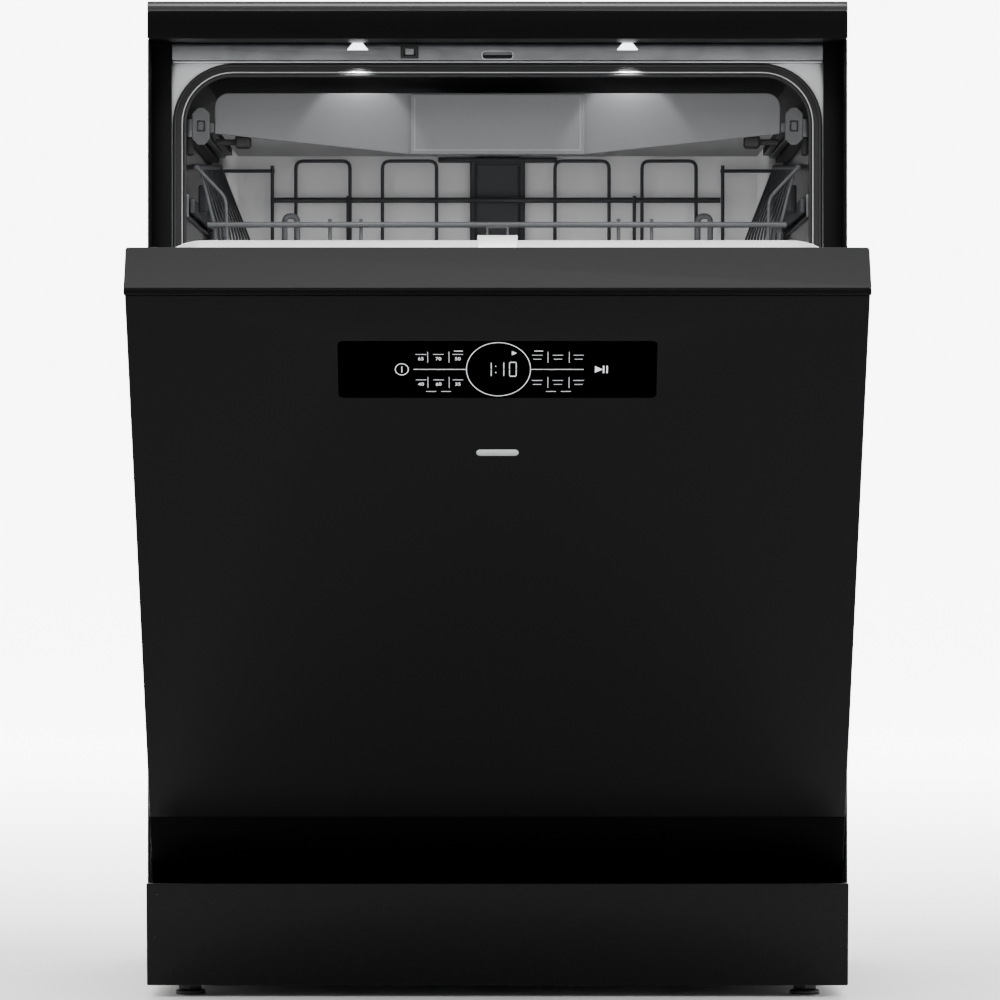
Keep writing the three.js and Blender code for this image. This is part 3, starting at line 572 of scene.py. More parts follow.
rack_rail = channel("upper_rack_rail_right", (266.3, 269.9), (64, 556), (668, 688), -1, 4, 2)
rail_steel = galvanised("rail_steel", (0.16, 0.165, 0.17), 0.35)
finished_pair(rack_rail, rail_steel, "cabinet")

# ---- Gasket ----
# A hollow rubber lip pushed on the flange, up one side, over the top and down the other. The bead
# has a groove along its middle and a thin outer lip.


GASKET_FOOT = 172


def arch(name, half, top, radius, ys, width):
    """A band bent into an arch round the door opening: a block with a rounded mouth cut out."""
    band = block(name, (-half, half), ys, (GASKET_FOOT, top))
    round_corners(band, "y", radius, 12, lambda m: m.z > 0.7)
    gap = block(
        f"{name}_mouth", (width - half, half - width), (ys[0] - 5, ys[1] + 5),
        (GASKET_FOOT - 20, top - width),
    )
    round_corners(gap, "y", radius - width, 12, lambda m: m.z > 0.7)
    return carved(band, gap)


def rubber(name, colour, roughness):
    made = node_material(name, colour, roughness)
    skin = grain(made, 700)
    vary(made, skin, "Roughness", roughness * 0.85, min(1.0, roughness * 1.15))
    bump(made, skin, 0.2, 0.0001)
    return made


black_rubber = rubber("black_rubber", (0.012, 0.012, 0.013), 0.45)
gasket_body = arch("gasket_body", 279.8, 800, 52, (51.5, 57.7), 11.8)
gasket_lip = arch("gasket_lip", 279.2, 799.4, 51, (49.5, 51.6), 2.4)
gasket_inner_lip = arch("gasket_inner_lip", 270.6, 791.2, 43, (49.5, 51.6), 2.2)
bead = soften(arch("tub_bead", 272.2, 792.8, 44.8, (49.7, 51.45), 1.1), 0.3)
finished(bead, flange_steel, "cabinet")
gasket = joined("mouth_gasket", gasket_body, gasket_lip, gasket_inner_lip)
soften(gasket, 0.7, 3)
finished(gasket, black_rubber, "cabinet", "tub_gasket")

# ---- Cross rail with its latch slot, sensor and lamps ----
# A rolled zinc-coated rail ties the side panels together above the mouth. The latch slot has a
# raised rim; the sensor and the two lamps are clipped into cut-outs.
rail = block("cross_rail", (-280.1, 280.1), (49.6, 56), (802.4, 817.7))
rail_front = on_cabinet(0, 49.6, 0).y
round_corners(rail, "x", 3.4, 6, lambda m: m.y < rail_front + 0.001 and m.z > 0.81)
round_corners(rail, "x", 1.3, 4, lambda m: m.y < rail_front + 0.001 and m.z < 0.806)
slot_cutter = block("slot_cutter", (-13, 13), (45, 60), (804, 810.4))
round_corners(slot_cutter, "y", 2.6, 5)
carved(rail, slot_cutter)
carved(rail, block("sensor_cutter", (-83.4, -68.1), (45, 60), (804.2, 815.4)))
LED_XS = {"left": -120.5, "right": 112}
LED_LOW, LED_HIGH = 811.8, 817.7


def lamp_wedge(name, x, grow, ys):
    """The lamp's outline: narrow above, wide below."""
    wedge = block(name, (x - 9 - grow, x + 9 + grow), ys, (LED_LOW - grow, LED_HIGH))
    edit(wedge, "FACE", facing(0, 0, 1))
    bpy.ops.transform.resize(value=(0.45, 1, 1))
    closed_edit()
    return wedge


for side, x in LED_XS.items():
    carved(rail, lamp_wedge("lamp_cutter", x, 0.4, (45, 60)))
smoothed(rail, 30)
rail_zinc = galvanised("cross_rail_zinc", (0.235, 0.243, 0.25), 0.34)
finished(rail, rail_zinc, "cabinet", "top_cross_rail")

slot_rim = block("latch_slot_rim", (-13.8, 13.8), (49.45, 50.2), (803.3, 811.1))
round_corners(slot_rim, "y", 3.2, 6)
rim_mouth = block("rim_mouth", (-12.9, 12.9), (45, 55), (804.1, 810.3))
round_corners(rim_mouth, "y", 2.4, 6)
carved(slot_rim, rim_mouth)
finished(soften(slot_rim, 0.15), flange_steel, "cabinet")

bright_trim = block("rail_bead", (-280.1, 280.1), (50.6, 57.4), (800.6, 802.1))
finished(soften(bright_trim, 0.6, 3), flange_steel, "cabinet")

sensor = block("sensor_housing", (-83, -68.5), (49.6, 56), (804.6, 815))
pressed(sensor, facing(0, -1, 0), (2.2, 0), (0.4, -1.8))
finished(soften(sensor, 0.25), black_moulding, "cabinet", "door_sensor")
sensor_eye = block("sensor_eye", (-79.5, -72), (50.4, 52.5), (807.6, 813))
finished(soften(sensor_eye, 0.6, 3), grey_moulding, "cabinet")

lamp_glow = node_material("lamp_glow", (0.95, 0.97, 1.0), 0.3)
glow(lamp_glow, (0.93, 0.96, 1.0), 4.0)
lamp_ribs = grain(lamp_glow, 900, (1, 0.1, 0.1))
bump(lamp_glow, lamp_ribs, 0.2, 0.0002)
LAMP_POWER = 0.24
for side, x in LED_XS.items():
    lens = lamp_wedge(f"lamp_lens_{side}", x, 0, (50.7, 56))
    finished(soften(lens, 0.4, 3), lamp_glow, "cabinet", f"led_lens_{side}")
    beam = bpy.data.lights.new(f"lamp_beam_{side}", "SPOT")
    beam.energy = LAMP_POWER
    beam.spot_size = math.radians(78)
    beam.spot_blend = 0.2
    beam.shadow_soft_size = 0.004
    lamp = bpy.data.objects.new(f"lamp_beam_{side}", beam)
    lamp.location = on_cabinet(x, 22, 803)
    aim = on_cabinet(x, 66, 738) - lamp.location
    lamp.rotation_euler = aim.to_track_quat("-Z", "Y").to_euler()
    bpy.context.collection.objects.link(lamp)

# ---- Water duct, filter, salt cap and fixed spray arms ----
# The duct climbs the rear wall and ends in the head that the upper rack's pipe docks with. The
# arms are blow-moulded in two halves, with a welded seam and a row of jets.
duct = block("duct_riser", (-25.4, 25.4), (535, 559), (173, 740))
pressed(duct, facing(0, -1, 0), (4, 0), (2, -2.5))
soften(duct, 1.6, 3, 30)
duct_head = soften(block("duct_head", (-55, 55), (533, 559), (737, 741)), 1.2, 3)
duct_neck = soften(block("duct_neck", (-20, 20), (548, 559), (739, 789.6)), 1.5)
ceiling_pipe = soften(block("ceiling_pipe", (-12, 12), (298, 559), (786.6, 789.6)), 1.0)
water_duct = joined("rear_water_duct", duct, duct_head, duct_neck, ceiling_pipe)
duct_grey = moulded("duct_grey", (0.085, 0.09, 0.097), 0.5)
finished(water_duct, duct_grey, "cabinet", "water_duct")

# The filter plate's holes are dark dots on a regular grid: painted shade where the openings would show
# the dark sump.
strainer = node_material("strainer_steel", (0.55, 0.56, 0.57), 0.35, 0.9)
strainer_tree = strainer.node_tree
strainer_place = strainer_tree.nodes.new("ShaderNodeTexCoord")
strainer_cells = strainer_tree.nodes.new("ShaderNodeTexVoronoi")
strainer_cells.inputs["Scale"].default_value = 420
strainer_cells.inputs["Randomness"].default_value = 0.0
strainer_ramp = strainer_tree.nodes.new("ShaderNodeValToRGB")
strainer_ramp.color_ramp.elements[0].position = 0.28
strainer_ramp.color_ramp.elements[0].color = (0.02, 0.02, 0.02, 1)
strainer_ramp.color_ramp.elements[1].position = 0.36
strainer_ramp.color_ramp.elements[1].color = (0.55, 0.56, 0.57, 1)
strainer_tree.links.new(strainer_place.outputs["Object"], strainer_cells.inputs["Vector"])
strainer_tree.links.new(strainer_cells.outputs["Distance"], strainer_ramp.inputs["Fac"])
strainer_tree.links.new(strainer_ramp.outputs["Color"], surface(strainer)["Base Color"])
recoat(strainer, "filter_plate")
recoat(grey_moulding, "filter_cylinder")
recoat(dark_moulding, "salt_cap")


ARM_TURN = 0.3  # how far the arms stand turned at rest, in radians


def spray_arm(name, node, body, centre, reach, heights, hub, jets):
    """Two tapered blades drawn out of a disc, with raised jets along both."""
    low, high = heights
    arm = block(name, (-20, 20), (-14, 14), (low, high), lambda x, y, z: Vector((x, y, z)) / 1000)
    for way in (1, -1):
        edit(arm, "FACE", facing(way, 0, 0))
        bpy.ops.mesh.extrude_region_move(
            TRANSFORM_OT_translate={"value": (way * (reach - 20) / 1000, 0, 0)}
        )
        bpy.ops.transform.resize(
            value=(1, 0.78, 0.75), center_override=(0, 0, (low + high) / 2000),
        )
        closed_edit()
    round_corners(arm, "z", 9, 6, lambda m: abs(m.x) > (reach - 2) / 1000)
    soften(arm, 2.2, 3, 50)
    place = on_cabinet(centre[0], centre[1], 0)
    arm.data.transform(Matrix.Translation(place) @ Matrix.Rotation(ARM_TURN, 4, "Z"))
    bodies = [arm, turned(f"{name}_hub", hub, centre)]
    for index in range(1, jets + 1):
        for way in (1, -1):
            run = way * index * (reach - 18) / jets
            x = centre[0] + run * math.cos(ARM_TURN)
            y = centre[1] + run * math.sin(ARM_TURN)
            jet = [(4.2, high - 1.6), (3.4, high - 0.2), (1.6, high - 0.2), (1.2, high - 1.4)]
            bodies.append(turned(f"{name}_jet", jet, (x, y), 12))
    finished(joined(name, *bodies), dark_moulding, body, node)


spray_arm(
    "lower_arm", "lower_spray_arm", "lower_spray_arm", (0, 310), 210, (195, 204),
    [(15, 188.4), (20, 189), (24, 193), (24, 205), (22, 206.8), (8, 206.8), (7, 205.5)], 6,
)
spray_arm(
    "ceiling_arm", "ceiling_spray_arm", "ceiling_spray_arm", (0, 310), 93, (779, 783),
    [(15, 778.2), (16, 779), (16, 785.6), (14, 786.2)], 3,
)

# ---- Upper rack ----
# Resistance-welded steel wire, dipped in a dark grey nylon coat. The thick rim runs round the sides,
# drops at both front corners to the low front rail, and thinner wires make floor, sides and loops.


def bent(points, radius):
    """Rounds the corners of a run of points with a short curve of five points."""
    run = [Vector(points[0])]
    for before, corner, after in zip(points, points[1:], points[2:]):
        before, corner, after = Vector(before), Vector(corner), Vector(after)
        reach = min(radius, (corner - before).length / 2.1, (after - corner).length / 2.1)
        start = corner + (before - corner).normalized() * reach
        end = corner + (after - corner).normalized() * reach
        for step in range(5):
            t = step / 4
            run.append(start * (1 - t) ** 2 + corner * 2 * t * (1 - t) + end * t * t)
    run.append(Vector(points[-1]))
    return run


def wires(name, runs, thickness, radius=9):
    """Round wires along runs of millimetre points, drawn as one curve and made a mesh."""
    drawing = bpy.data.curves.new(name, "CURVE")
    drawing.dimensions = "3D"
    drawing.bevel_depth = thickness / 2000
    drawing.bevel_resolution = 2
    drawing.use_fill_caps = True
    for points in runs:
        places = [on_cabinet(*point) for point in bent(points, radius)]
        spline = drawing.splines.new("POLY")
        spline.points.add(len(places) - 1)
        for point, place in zip(spline.points, places):
            point.co = (*place, 1)
    piece = bpy.data.objects.new(name, drawing)
    bpy.context.collection.objects.link(piece)
    only(piece)
    bpy.ops.object.convert(target="MESH")
    piece = bpy.context.object
    piece.data.name = name
    return smoothed(piece, 50)


def both_sides(runs):
    return runs + [[(-x, y, z) for x, y, z in points] for points in runs]


coat_colour = (0.085, 0.09, 0.096)
wire_coat = node_material("nylon_coat", coat_colour, 0.42)
coat_skin = grain(wire_coat, 380)
coat_greys = (shaded(coat_colour, 0.85), shaded(coat_colour, 1.15))
vary(wire_coat, coat_skin, "Base Color", *coat_greys)
vary(wire_coat, coat_skin, "Roughness", 0.34, 0.5)
bump(wire_coat, coat_skin, 0.3, 0.0003)

RACK_FRONT, RACK_BACK = 69, 525
FLOOR_Z = 562
RIM_Z, RIM_X = 711, 259.5
RAIL_Z = 661.7
BACK_RAIL_Z = 701
FRONT_WIRES = (-144.7, -117.9, 104.6, 133.1)
LOOPS = (-161.3, -81.3, 78.1, 158.5)
thick_runs = [
    [(-250.5, RACK_FRONT - 0.2, RAIL_Z), (249.5, RACK_FRONT - 0.2, RAIL_Z)],
    [(-240, RACK_FRONT + 4, FLOOR_Z + 1), (240, RACK_FRONT + 4, FLOOR_Z + 1)],
    [(-209, RACK_BACK - 2, BACK_RAIL_Z), (206, RACK_BACK - 2, BACK_RAIL_Z)],
]
thick_runs += both_sides([[(RIM_X, RACK_FRONT + 2, RIM_Z), (256, RACK_BACK - 2, 731)]])
thin_runs = both_sides([
    [
        (RIM_X, RACK_FRONT, RIM_Z), (234.6, RACK_FRONT, 684.8), (233.4, RACK_FRONT, 640),
        (228, RACK_FRONT + 5, FLOOR_Z + 2),
    ],
    [(255, RACK_FRONT + 3, 704), (244, RACK_FRONT + 3, RAIL_Z - 4), (240, RACK_FRONT + 5, FLOOR_Z + 3)],
    [(206, RACK_BACK - 1, 728), (256, RACK_BACK - 1, 728)],
    [(208, RACK_BACK - 4, 733), (208, RACK_BACK - 4, FLOOR_Z)],
])
SIDE_WIRES = 11
comb_runs = []
for index in range(SIDE_WIRES):
    share = index / (SIDE_WIRES - 1)
    y = RACK_FRONT + 22 + share * (RACK_BACK - RACK_FRONT - 34)
    top = RIM_Z + 2 + 19 * share
    comb_runs += both_sides([[
        (258.5 - 3 * share, y, top), (244 - 16 * share, y, RAIL_Z), (236 - 10 * share, y, FLOOR_Z),
        (120, y, FLOOR_Z),
    ]])
    thin_runs.append([
        (-121, y, FLOOR_Z), (-60, y, FLOOR_Z + 10), (60, y, FLOOR_Z + 10), (121, y, FLOOR_Z),
    ])
for index in range(11):
    x = -225 + index * 45
    low = FLOOR_Z + (13 if abs(x) < 70 else 3)
    thin_runs.append([(x, RACK_FRONT + 6, low), (x, RACK_BACK - 6, low)])
for x in FRONT_WIRES:
    thin_runs.append([
        (x, RACK_FRONT + 3, 667), (x, RACK_FRONT + 3, FLOOR_Z + 3), (x, RACK_BACK - 4, FLOOR_Z + 3),
    ])
for middle in LOOPS:
    thin_runs.append([
        (middle - 25, RACK_BACK - 2, FLOOR_Z), (middle - 25, RACK_BACK - 2, 737.2),
        (middle + 25, RACK_BACK - 2, 737.2), (middle + 25, RACK_BACK - 2, FLOOR_Z),
    ])
for x in (-138, 126.4):
    thin_runs.append([(x, RACK_BACK - 4, FLOOR_Z), (x, RACK_BACK - 4, 705)])
thick_runs += both_sides([[
    (174.5, RACK_FRONT + 60, FLOOR_Z + 2), (174.5, RACK_FRONT + 60, 671.5),
    (185.5, RACK_FRONT + 60, 671.5), (185.5, RACK_FRONT + 60, FLOOR_Z + 2),
]])
for index in range(5):
    for x in (-150, -30, 150):
        y = 130 + index * 80
        thin_runs.append([(x, y, FLOOR_Z + 2), (x + 3, y, 612)])
rack_thick = wires("upper_rack_rim", thick_runs, 5.0)
rack_thin = wires("upper_rack_wires", thin_runs, 3.2, 7)
rack_comb = wires("upper_rack_comb", comb_runs, 2.0, 7)
upper_rack = joined("upper_wire_rack", rack_thick, rack_thin, rack_comb)
finished(upper_rack, wire_coat, "upper_rack", "upper_rack")

slide_bar = soften(block("upper_rack_slide_right", (261.6, 265.6), (70, 524), (672, 684)), 0.8)
finished_pair(slide_bar, dark_moulding, "upper_rack")
for name, y in (("front", 170), ("rear", 480)):
    clip = block(f"rack_slide_clip_{name}_right", (254, 262), (y - 10, y + 10), (676, 700))
    finished_pair(soften(clip, 1.6, 3), dark_moulding, "upper_rack")

feed = soften(block("upper_feed_pipe", (-11, 11), (288, 531), (545.4, 559.7)), 4.5, 5)
finished(feed, dark_moulding, "upper_rack", "upper_spray_pipe")
spray_arm(
    "upper_arm", "upper_spray_arm", "upper_spray_arm", (0, 300), 198, (532, 540),
    [(14, 529.2), (18, 530), (20, 533), (20, 543.5), (17, 545)], 6,
)

# ---- Cutlery drawer ----
# A shallow drawer under the ceiling: a light grey moulded front with a raised middle block, a
# flat ribbed tray, a wire rim, and runners that end in caps with a square socket.
light_moulding = moulded("light_moulding", (0.14, 0.144, 0.149), 0.45, 1600, 0.12)
FACE_Y = (61, 66)
face = block("drawer_face", (-244, 244), FACE_Y, (740, 775))
edit(face, "FACE", facing(0, 0, -1))
bpy.ops.mesh.subdivide(number_cuts=1)
closed_edit()
for cut_x in (-0.075, 0.075):
    edit(face, "FACE", everything)
    bpy.ops.mesh.bisect(plane_co=(cut_x, 0, 0), plane_no=(1, 0, 0))
    closed_edit()
for vertex in face.data.vertices:
    if vertex.co.z < 0.7405 and abs(vertex.co.x) < 0.076:
        vertex.co.z = 0.722
round_corners(face, "y", 12, 8, lambda m: m.z > 0.77 and abs(m.x) > 0.24)
soften(face, 1.0, 3, 40)
middle_block = block("drawer_middle_block", (-75, 75), (58, 61.5), (722, 774))
soften(middle_block, 1.0, 3)
inner_line = block("block_line", (-71.5, 71.5), (57.6, 58.1), (725.5, 726.3))
side_line = block("block_line_side", (71.0, 71.8), (57.6, 58.1), (725.5, 771))
front_lines = [inner_line, side_line, mirrored_copy(side_line, "block_line_left")]
drawer_face = joined("cutlery_drawer_front", face, middle_block)
finished(drawer_face, light_moulding, "cutlery_drawer", "drawer_front")
for line in front_lines:
    line.data.transform(Matrix.Translation((0, 0.0003, 0)))
finished(joined("drawer_block_lines", *front_lines), grey_moulding, "cutlery_drawer")

TRAY_LOW = 741.4
tray_parts = [block("tray_floor", (-239.8, 239.8), (66.4, 519.8), (TRAY_LOW, TRAY_LOW + 1.4))]
for index in range(29):
    y = 84 + index * 15
    tray_parts.append(block("tray_rib", (-236, 236), (y, y + 1.4), (TRAY_LOW + 1.4, 744.3)))
for x in (-237.6, -75, 73.4, 236):
    tray_parts.append(block("tray_wall", (x, x + 1.6), (66.4, 519.8), (TRAY_LOW + 1.4, 744.3)))
tray = joined("cutlery_tray", *tray_parts)
pale_moulding = moulded("pale_moulding", (0.62, 0.62, 0.62), 0.5)
finished(soften(tray, 0.3, 1), pale_moulding, "cutlery_drawer", "drawer_tray")
rim_runs = [
    [(-242, 68, z), (-242, 521.5, z), (242, 521.5, z), (242, 68, z)] for z in (758, 750)
]
for index in range(12):
    y = 80 + index * 39
    rim_runs += both_sides([[(242, y, 750), (242, y, 758)]])
drawer_rim = wires("cutlery_drawer_rim", rim_runs, 3.2)
finished(drawer_rim, pale_moulding, "cutlery_drawer", "drawer_rim")

cap = block("runner_cap", (248, 263), (52, 59), (730, 762))
round_corners(cap, "y", 5, 1)
pressed(cap, facing(0, -1, 0), (1.2, 0))
carved(cap, block("cap_socket", (252, 259), (50, 56), (741.5, 751)))
soften(cap, 0.5, 2)
cap_stud = soften(block("cap_stud", (253, 258), (53.5, 57), (742.6, 749.8)), 0.4)
runner_bar = soften(block("runner_bar", (244.4, 250.6), (58, 500), (741, 749)), 0.6)
runner_right = joined("drawer_runner_bar_right", runner_bar, cap, cap_stud)
cap_grey = moulded("cap_grey", (0.075, 0.077, 0.08), 0.45)
finished_pair(runner_right, cap_grey, "cutlery_drawer", "drawer_runner_{}")


def span(way, near, far):
    """From near to far on the right, or the same on the left, low side first."""
    return sorted((way * near, way * far))


for side, way in (("right", 1), ("left", -1)):
    slide_xs, fixed_xs = span(way, 251, 257.4), span(way, 257.8, 268.8)
    slide = channel(f"telescope_middle_{side}", slide_xs, (62, 530), (740, 750), -way)
    finished(slide, rail_steel, f"drawer_slide_{side}", f"drawer_slide_{side}")
    fixed = channel(f"telescope_fixed_{side}", fixed_xs, (63, 550), (737, 753), -way)
    finished(fixed, rail_steel, "cabinet", f"drawer_rail_{side}")
    bracket = block(f"rail_bracket_{side}", span(way, 263, 268.6), (64, 84), (722, 736.6))
    finished(soften(bracket, 1.2, 2), black_moulding, "cabinet")
    roller = block(f"roller_{side}", span(way, 213, 227), (68, 92), (728, 739.5))
    arm = block(f"roller_arm_{side}", span(way, 226, 243), (76, 84), (731, 736))
    roller = joined(f"rail_roller_{side}", soften(roller, 3, 3), soften(arm, 0.8))
    finished(roller, black_moulding, "cutlery_drawer")

# ---- Lower rack ----
# The same coated wire, deeper and flat-floored, on four wheels. One row of plate tines folds flat
# on a wire hinge; the cutlery basket stands at the right.
LOW_FLOOR, LOW_X = 216, 238
low_thick = both_sides([
    [
        (0, RACK_BACK, 378), (LOW_X, RACK_BACK, 378), (LOW_X, RACK_FRONT, 366),
        (210, RACK_FRONT, 328), (0, RACK_FRONT, 328),
    ],
    [(0, RACK_FRONT, 290), (LOW_X, RACK_FRONT, 290), (LOW_X, RACK_BACK, 290), (0, RACK_BACK, 290)],
    [
        (0, RACK_FRONT, LOW_FLOOR), (LOW_X, RACK_FRONT, LOW_FLOOR),
        (LOW_X, RACK_BACK, LOW_FLOOR), (0, RACK_BACK, LOW_FLOOR),
    ],
])
low_thin = []
for index in range(14):
    y = RACK_FRONT + 16 + index * 32.5
    low_thin.append([(-LOW_X, y, 372), (-LOW_X, y, LOW_FLOOR), (LOW_X, y, LOW_FLOOR), (LOW_X, y, 372)])
for index in range(13):
    x = -216 + index * 36
    low_thin.append([
        (x, RACK_FRONT, 328), (x, RACK_FRONT, LOW_FLOOR),
        (x, RACK_BACK, LOW_FLOOR), (x, RACK_BACK, 378),
    ])
for x in (-36, 36, 84):
    for index in range(11):
        y = 96 + index * 38
        if x < 80 or y > 260:
            low_thin.append([(x, y, LOW_FLOOR), (x, y, 286)])
low_rim = wires("lower_rack_rim", low_thick, 5.0, 14)
lower_rack = joined("lower_wire_rack", low_rim, wires("lower_rack_wires", low_thin, 3.2, 7))
finished(lower_rack, wire_coat, "lower_rack", "lower_rack")

WHEEL_RADIUS = 16
WHEEL_Z = 183.7 + 0.5 + WHEEL_RADIUS


def lying_wheel(name, x, y, profile):
    """A profile spun upright, then laid on its side so that it turns about X."""
    spun = turned(name, profile, (0, 0))
    centre = on_cabinet(0, 0, 0)
    laid = Matrix.Translation(on_cabinet(x, y, WHEEL_Z)) @ Matrix.Rotation(math.pi / 2, 4, "Y")
    spun.data.transform(laid @ Matrix.Translation(-centre))
    return spun


TYRE = [
    (6.2, -5.5), (6.4, -5.4), (14.5, -5.4), (16, -4), (16, 4), (14.5, 5.4), (10, 5.4), (9, 3.8),
    (5.2, 3.8),
]
wheel_grey = moulded("wheel_grey", (0.2, 0.21, 0.22), 0.5)
for place, y in (("front", 130), ("rear", 470)):
    tyre = lying_wheel(f"wheel_{place}_right", 248.5, y, TYRE)
    carved(tyre, lying_wheel("wheel_bore", 248.5, y, [(4.6, -8), (4.6, 8)]))
    node = f"rack_wheel_{place}_{{}}"
    finished_pair(soften(tyre, 0.3, 2), wheel_grey, node, node)
    axle = lying_wheel(f"axle_{place}_right", 247, y, [(4, -10), (4, 9.2), (3.2, 9.9)])
    plate = soften(block(f"axle_plate_{place}", (235, 241), (y - 9, y + 9), (194.4, 222)), 1.5, 3)
    holder = joined(f"wheel_holder_{place}_right", axle, plate)
    finished_pair(holder, grey_moulding, "lower_rack")

TINE_X, TINE_FOOT = -120, 221
tine_runs = [[(TINE_X, 97, TINE_FOOT), (TINE_X, 477, TINE_FOOT)]]
for index in range(10):
    y = 98 + index * 42
    tine_runs.append([(TINE_X, y, TINE_FOOT), (TINE_X, y, 284)])
tines = wires("folding_tines", tine_runs, 3.6)
finished(tines, wire_coat, "plate_tines", "plate_tines")

BASKET_X, BASKET_Y, BASKET_Z = (130, 232), (90, 250), (218.4, 335)
basket = block("cutlery_basket_shell", BASKET_X, BASKET_Y, BASKET_Z)
for xs in ((132.5, 179.5), (182.5, 229.5)):
    carved(basket, block("basket_cell", xs, (92.5, 247.5), (221, 340)))
slots, windows = [], []
for low in range(228, 314, 17):
    for y in range(100, 229, 16):
        slots.append(block("basket_slot", (120, 240), (y, y + 10), (low, low + 11)))
for low in range(228, 314, 17):
    for x in (137, 148.5, 160, 171.5, 187, 198.5, 210, 221.5):
        windows.append(block("basket_window", (x - 3.5, x + 3.5), (80, 260), (low, low + 11)))
carved(basket, joined("basket_slots", *slots))
carved(basket, joined("basket_windows", *windows))
finished(soften(basket, 0.5, 1), grey_moulding, "lower_rack", "cutlery_basket")

# ---- Door: black glass, kick strip, top strip ----
# The door is modelled upright about its hinge pin and then laid to the angle at which it stands.
# A sheet of black glass is glued to the front; a dark moulded strip closes the top edge.
hinge = next(joint for joint in frame["joints"] if joint["name"] == "door_hinge")
DOOR_ANGLE = math.radians(45)
LAID = Matrix.Translation(Vector(hinge["pos_m"])) @ Matrix.Rotation(DOOR_ANGLE, 4, "X")


def on_door(x, y, z):
    """Millimetres counted from the hinge pin, with the door upright."""
    return Vector((x, y, z)) / 1000


def hung(piece, made, body="door", *nodes):
    """Lays an upright door piece to the door's angle and fixes it to its body."""
    piece.data.transform(LAID)
    return finished(piece, made, body, *nodes)


glass_black = node_material("door_glass_black", (0.0056, 0.0056, 0.0059), 0.2)
sheen(glass_black, 0.035)
glass_flow = grain(glass_black, 3, detail=1)
vary(glass_black, glass_flow, "Roughness", 0.17, 0.22)
glass_dust = grain(glass_black, 900)
bump(glass_black, glass_dust, 0.01, 0.00002)

glass = block("door_front_glass", (-295.2, 295.2), (-42.7, -39), (44.4, 653.6), on_door)
window_hole = block("window_hole", (-127.5, 127.5), (-50, -30), (541, 604), on_door)
round_corners(window_hole, "y", 4.5, 6)
carved(glass, window_hole)
soften(glass, 0.6, 3, 60)
hung(glass, glass_black, "door", "door_glass")

window_black = node_material("window_black", (0.0002, 0.0002, 0.00025), 0.05)
sheen(window_black, 0.0)
vary(window_black, grain(window_black, 5), "Roughness", 0.05, 0.08)
window = block("control_window_pane", (-127.2, 127.2), (-42.7, -39.2), (541.3, 603.7), on_door)
round_corners(window, "y", 4.2, 6)
soften(window, 0.3, 2, 60)
hung(window, window_black, "door", "control_window")

kick_black = enamel("kick_black", (0.0002, 0.0002, 0.00025), 0.5)
sheen(kick_black, 0.03)
kick = block("door_kick_strip", (-295.2, 295.2), (-42.7, -39), (-54.4, 44.1), on_door)
hung(soften(kick, 0.6, 3), kick_black, "door", "door_kick")

# A black band along the top of the glass stands for the shadowed gap between the glass and the top
# strip: painted shade.
gap_shade_black = enamel("glass_gap_shade_black", (0.0003, 0.0003, 0.0004), 0.3)
sheen(gap_shade_black, 0.04)
glass_gap_shade = block("glass_top_gap_shade", (-296.2, 296.2), (-43, -40.2), (654.4, 659.9), on_door)
hung(soften(glass_gap_shade, 0.7, 3), gap_shade_black, "door")

strip_grey = moulded("strip_grey", (0.0045, 0.0045, 0.0048), 0.6, 2200, 0.2)
sheen(strip_grey, 0.3)
strip = block("door_top_cap", (-296.2, 296.2), (-40.1, 7.5), (655, 660), on_door)
round_corners(strip, "z", 2.5, 4)
soften(strip, 0.8, 3)
hung(strip, strip_grey, "door", "door_top_strip")

housing_grey = moulded("housing_grey", (0.05, 0.052, 0.055), 0.5)
housing = block("door_case", (-294.5, 294.5), (-38.7, 7.2), (-52, 654.7), on_door)
for way in (1, -1):
    carved(housing, block("neck_cutter", span(way, 272, 300), (-50, 50), (-60, 25), on_door))
carved(housing, block("case_inside", (-288, 288), (-35.7, 20), (31, 648), on_door))
carved(housing, block("foot_inside", (-266, 266), (-35.7, 20), (-46, 25), on_door))
for way in (1, -1):
    pin = block("hinge_pin", span(way, 266, 283), (-5, 5), (-5, 5), on_door)
    round_corners(pin, "x", 4.4, 5)
    housing = joined("door_case", housing, pin)
hung(soften(housing, 0.8, 2, 40), housing_grey, "door", "door_housing")

# ---- Door liner, dispenser and rinse-aid cap ----
# The inner side of the door is a pressed stainless pan with big corner radii. The dispenser is
# clamped in it: a grey moulding with a sprung lid over the powder cup and a twist cap beside it.
liner_steel = stainless("liner_steel", (0.92, 0.92, 0.925), 0.42, (0.05, 1, 1))
liner_rim = block("liner_rim", (-294.5, 294.5), (7.5, 9.5), (26, 654.5), on_door)
soften(liner_rim, 0.5)
pan = block("liner_pan", (-275.6, 275.6), (7.6, 27.5), (-16, 650), on_door)
round_corners(pan, "y", 42, 14, lambda m: m.z > 0.6)
round_corners(pan, "y", 8, 4, lambda m: m.z < 0)
edit(pan, "EDGE", lambda middle, way: middle.y > 0.0274 and abs(way.y) < 0.01)
bpy.ops.mesh.bevel(offset=0.003, segments=4, affect="EDGES")
closed_edit()
recess = block("pan_recess", (-246, 246), (24.6, 40), (14, 620), on_door)
round_corners(recess, "y", 34, 10)
carved(pan, recess)
hung(joined("door_inner_liner", liner_rim, smoothed(pan, 30)), liner_steel, "door", "door_liner")

